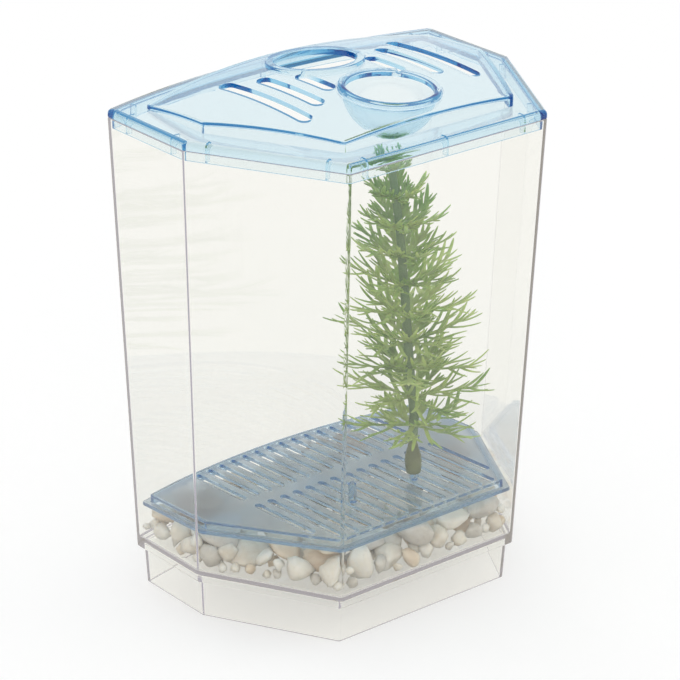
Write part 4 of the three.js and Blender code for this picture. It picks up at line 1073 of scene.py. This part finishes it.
def foot_mesh():
    """The foot's profile turned round its axis, with faint rings, hollow below for the peg and above
    for the stem."""
    fine = np.linspace(0, 1, FOOT_LEVELS)
    rings = 1 + RING_HEIGHT * np.sin(fine * RING_PACE)
    radius = FOOT_RADIUS * np.interp(fine, FOOT_STOPS, FOOT_SHARES) * rings
    outside = np.column_stack([radius, FOOT_STAND + FOOT_LENGTH * fine])
    socket, socket_top, top = PEG_RADIUS + SOCKET_GAP, FOOT_STAND + SOCKET_DEPTH, FOOT_STAND + FOOT_LENGTH
    start = [(AXIS / 2, socket_top), (socket, socket_top), (socket, FOOT_STAND)]
    end = [(FOOT_BORE, top), (FOOT_BORE, top - FOOT_BORE_DEPTH), (AXIS / 2, top - FOOT_BORE_DEPTH)]
    mesh = moved(lathe("foot", [*start, *outside.tolist(), *end], FOOT_SIDES), 0, (PEG_X, PEG_Y, 0))
    return moved(mesh, -PLATE_TILT, PLATE_PLACE)


placed("stem_tube", stem_mesh(), "plant", stem_plastic, "stem_green", ["plant_stem"], sharp=50)
placed("bulb_foot", foot_mesh(), "plant", foot_plastic, "foot_olive", ["plant_foot"], sharp=50)

# %% [markdown]
# ## Pebbles
# The bed is natural gravel, tumbled smooth: mostly white and cream quartz with a few grey and
# rust-brown stones. Quartz isn't a paint on a stone. Clouds run through it, fine specks sit in
# them, and light enters a few millimetres and softens the shadows between the stones.

# %% Pebble material
STONE_COLOURS = {
    "pebble_white": (rgb(236, 233, 226), rgb(222, 216, 206), rgb(194, 185, 172), 0.4),
    "pebble_pale": (rgb(230, 224, 214), rgb(212, 202, 188), rgb(180, 166, 148), 0.45),
    "pebble_cream": (rgb(226, 213, 196), rgb(208, 189, 168), rgb(172, 148, 124), 0.45),
    "pebble_grey": (rgb(214, 211, 206), rgb(194, 189, 182), rgb(156, 150, 142), 0.5),
    "pebble_tan": (rgb(206, 178, 152), rgb(188, 154, 126), rgb(144, 112, 86), 0.5),
}


def stone(name, base, vein, speck, amount):
    """Cloudy mineral colour: slow clouds from base to vein, then fine specks, a finely pitted skin,
    and the light that quartz lets in a few millimetres deep."""
    material, tree = new_material(name)
    place = make(tree, "TexCoord")["Object"]
    cloud, dots = noise(tree, place, 110.0, 5.0, 0.6, 0.8), noise(tree, place, 900.0, 4.0, 0.7)
    veined = blend(tree, spread(tree, cloud, 0.38, 0.66), base, vein)
    specked = blend(tree, spread(tree, dots, 0.56, 0.74, 0.0, amount), veined, speck)
    rough = spread(tree, cloud, 0.0, 1.0, 0.38, 0.62)
    grainy_body(tree, specked, rough, dots, bump=0.25, glow=0.6, reach=(1.0, 0.9, 0.75), depth=0.005)
    return material


stones = {slot: stone(f"{slot}_quartz", *colours) for slot, colours in STONE_COLOURS.items()}
pebble_names = sorted(n for n in nodes if n.startswith("pebble_"))
print("pebble slots", {slot: sum(slots[n] == slot for n in pebble_names) for slot in stones})

# %% [markdown]
# ### Chipped and tumbled stones
# Gravel is broken rock with its edges worn off. A ball with noise on it looks like dough. The shape
# used here is a many-sided solid whose faces melt into each other: in a direction d it reaches
# (sum of (d . n / h)^p)^(-1/p) over its flat faces n at distance h. Each stone of the CAD model
# gets such a skin in its own size, place and turn.

# %% Stone shapes
FACES, MELT, LEAST_FACE, STONE_U, STONE_V, STONE_SEED = 15, 9.0, 0.74, 28, 16, 700


def chipped(rng, sizes):
    """Rings of points on a worn chip, from its lowest point up, sized by the three half lengths."""
    normals = unit(rng.normal(size=(FACES, 3)))
    reach = rng.uniform(LEAST_FACE, 1.0, FACES)
    u = np.linspace(0, 2 * pi, STONE_U, endpoint=False)
    v = np.linspace(-pi / 2, pi / 2, STONE_V + 2)[1:-1, None]
    ways = np.stack([np.cos(v) * np.cos(u), np.cos(v) * np.sin(u), np.sin(v) * np.ones_like(u)], -1)
    worn = (np.maximum(ways @ normals.T / reach, 0) ** MELT).sum(-1) ** (-1 / MELT)
    points = ways * worn[..., None]
    low, high = points.min((0, 1)), points.max((0, 1))
    return ((points - low) / (high - low) * 2 - 1) * sizes


def stone_frame(name):
    """A CAD stone's middle, its three main directions, its half length along each and its top."""
    points = np.unique(points_of(name).round(4), axis=0)
    middle = (points.min(0) + points.max(0)) / 2
    turn = np.linalg.svd(points - middle, full_matrices=False)[2]
    turn[2] = np.cross(turn[0], turn[1])
    half = np.abs((points - middle) @ turn.T).max(0)
    return middle, turn, half, points[:, 2].max()


def chipped_stone(index, name):
    """Replaces a CAD stone and keeps below its top; returns its middle and mean radius as one row."""
    middle, turn, half, top = stone_frame(name)
    rings = chipped(np.random.default_rng(STONE_SEED + index), half) @ turn + middle
    rings[..., 2] -= max(rings[..., 2].max() - top, 0)
    slot = slots[name]
    placed(f"{name}_stone", skin(name, rings), "tank", stones[slot], slot, [name], sharp=180)
    return [*middle, half.mean()]


large_stones = np.array([chipped_stone(index, name) for index, name in enumerate(pebble_names)])
print("chipped stones", len(large_stones), "mean radius", large_stones[:, 3].mean().round(1), "mm")

# %% [markdown]
# ### Small stones between them
# CAD leaves the small stones out. A physics drop would pack them well but slowly, and not the same
# on every machine. Trying many places and keeping the free ones is quick and steady. Places along
# the wall are tried first, since they are what shows through it.

# %% Small stones between them
FILL_TRIES, FILL_LARGE, FILL_SMALL, FILL_LEAST = 40000, 6.8, 2.8, 2.0
FILL_TOP, FILL_WALL_GAP, FILL_SEED = 31.5, 0.1, 11
FILL_CLOSE, FILL_NEAR, FINE_OVER, FILL_HEAD, FILL_SIZES = 0.8, 1.6, 3.6, 1.8, (0.8, 1.0)
GRAVEL_SHARES = (("white", 0, 5), ("pale", 5, 9), ("cream", 9, 11), ("grey", 11, 13))
GRAVEL_ROUND = GRAVEL_SHARES[-1][2]


def fill_places(rng):
    """Middles and radii of small stones that keep clear of each other and of the wall: places along
    the wall are tried first, and large stones before small ones."""
    limit = lean_at(FLOOR_Z) + WALL + FILL_WALL_GAP
    radius = np.linspace(FILL_LARGE, FILL_LEAST, FILL_TRIES)
    low, high = corners(limit).min(0), corners(limit).max(0) + (0, BACK_BOW)
    place = rng.uniform(low, high, (FILL_TRIES, 2))
    lift = rng.uniform(0, 1, FILL_TRIES)
    z = FLOOR_Z + radius + lift**2 * (FILL_TOP - FLOOR_Z - radius * FILL_HEAD)
    sideways = np.abs(place[:, 0])
    clear = np.min([
        HALF_WIDTH - sideways,
        REACH + place[:, 1],
        SLANT @ SIDE_END - np.column_stack([sideways, place[:, 1]]) @ SLANT,
        BACK_RADIUS - np.hypot(place[:, 0], place[:, 1] - BACK_CENTRE),
    ], 0) - limit - radius
    tried = np.column_stack([place, z, radius])
    along_wall = tried[(clear > 0) & (clear < FILL_NEAR)]
    further_in = tried[(clear >= FILL_NEAR) & (radius > FILL_SMALL)]
    taken = large_stones
    for row in np.concatenate([along_wall, further_in]):
        apart = np.linalg.norm(taken[:, :3] - row[:3], axis=1)
        if np.all(apart > FILL_CLOSE * (row[3] + taken[:, 3])):
            taken = np.vstack([taken, row])
    return taken[len(large_stones):]


def fill_mesh(name, places, rng):
    """All small stones of one colour as one skin: their rings are joined stone by stone, and the
    smallest stones keep fewer points."""
    mesh = bpy.data.meshes.new(name)
    joined = bmesh.new()
    for *middle, radius in places:
        turn = np.linalg.qr(rng.normal(size=(3, 3)))[0]
        turn *= np.sign(np.linalg.det(turn))
        sizes = radius * rng.uniform(*FILL_SIZES, 3)
        rings = chipped(rng, sizes) @ turn + middle
        one = skin("one", rings[::2, ::2] if radius > FINE_OVER else rings[::3, ::4])
        joined.from_mesh(one)
        bpy.data.meshes.remove(one)
    joined.to_mesh(mesh)
    joined.free()
    return mesh


fill_rng = np.random.default_rng(FILL_SEED)
fills = fill_places(fill_rng)
turn_of = np.arange(len(fills)) % GRAVEL_ROUND
for colour, first, end in GRAVEL_SHARES:
    slot, name = f"pebble_{colour}", f"gravel_{colour}"
    mesh = fill_mesh(name, fills[(turn_of >= first) & (turn_of < end)], fill_rng)
    handed_over(name, mesh, "tank", stones[slot], slot)
print("small stones", len(fills), "least", fills[:, 3].min().round(1), "mm")

# %% [markdown]
# ## Both boxes
# The boxes of the CAD model and of the visual model are both worked out and printed. The
# visual model has to stay inside the CAD model's box.

# %% Finish
see_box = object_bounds()
boxes = {"cad": cad_box, "visual": see_box}
{key: [list(map(float, corner)) for corner in box] for key, box in boxes.items()}
print("cad box", cad_box, "visual box", see_box)
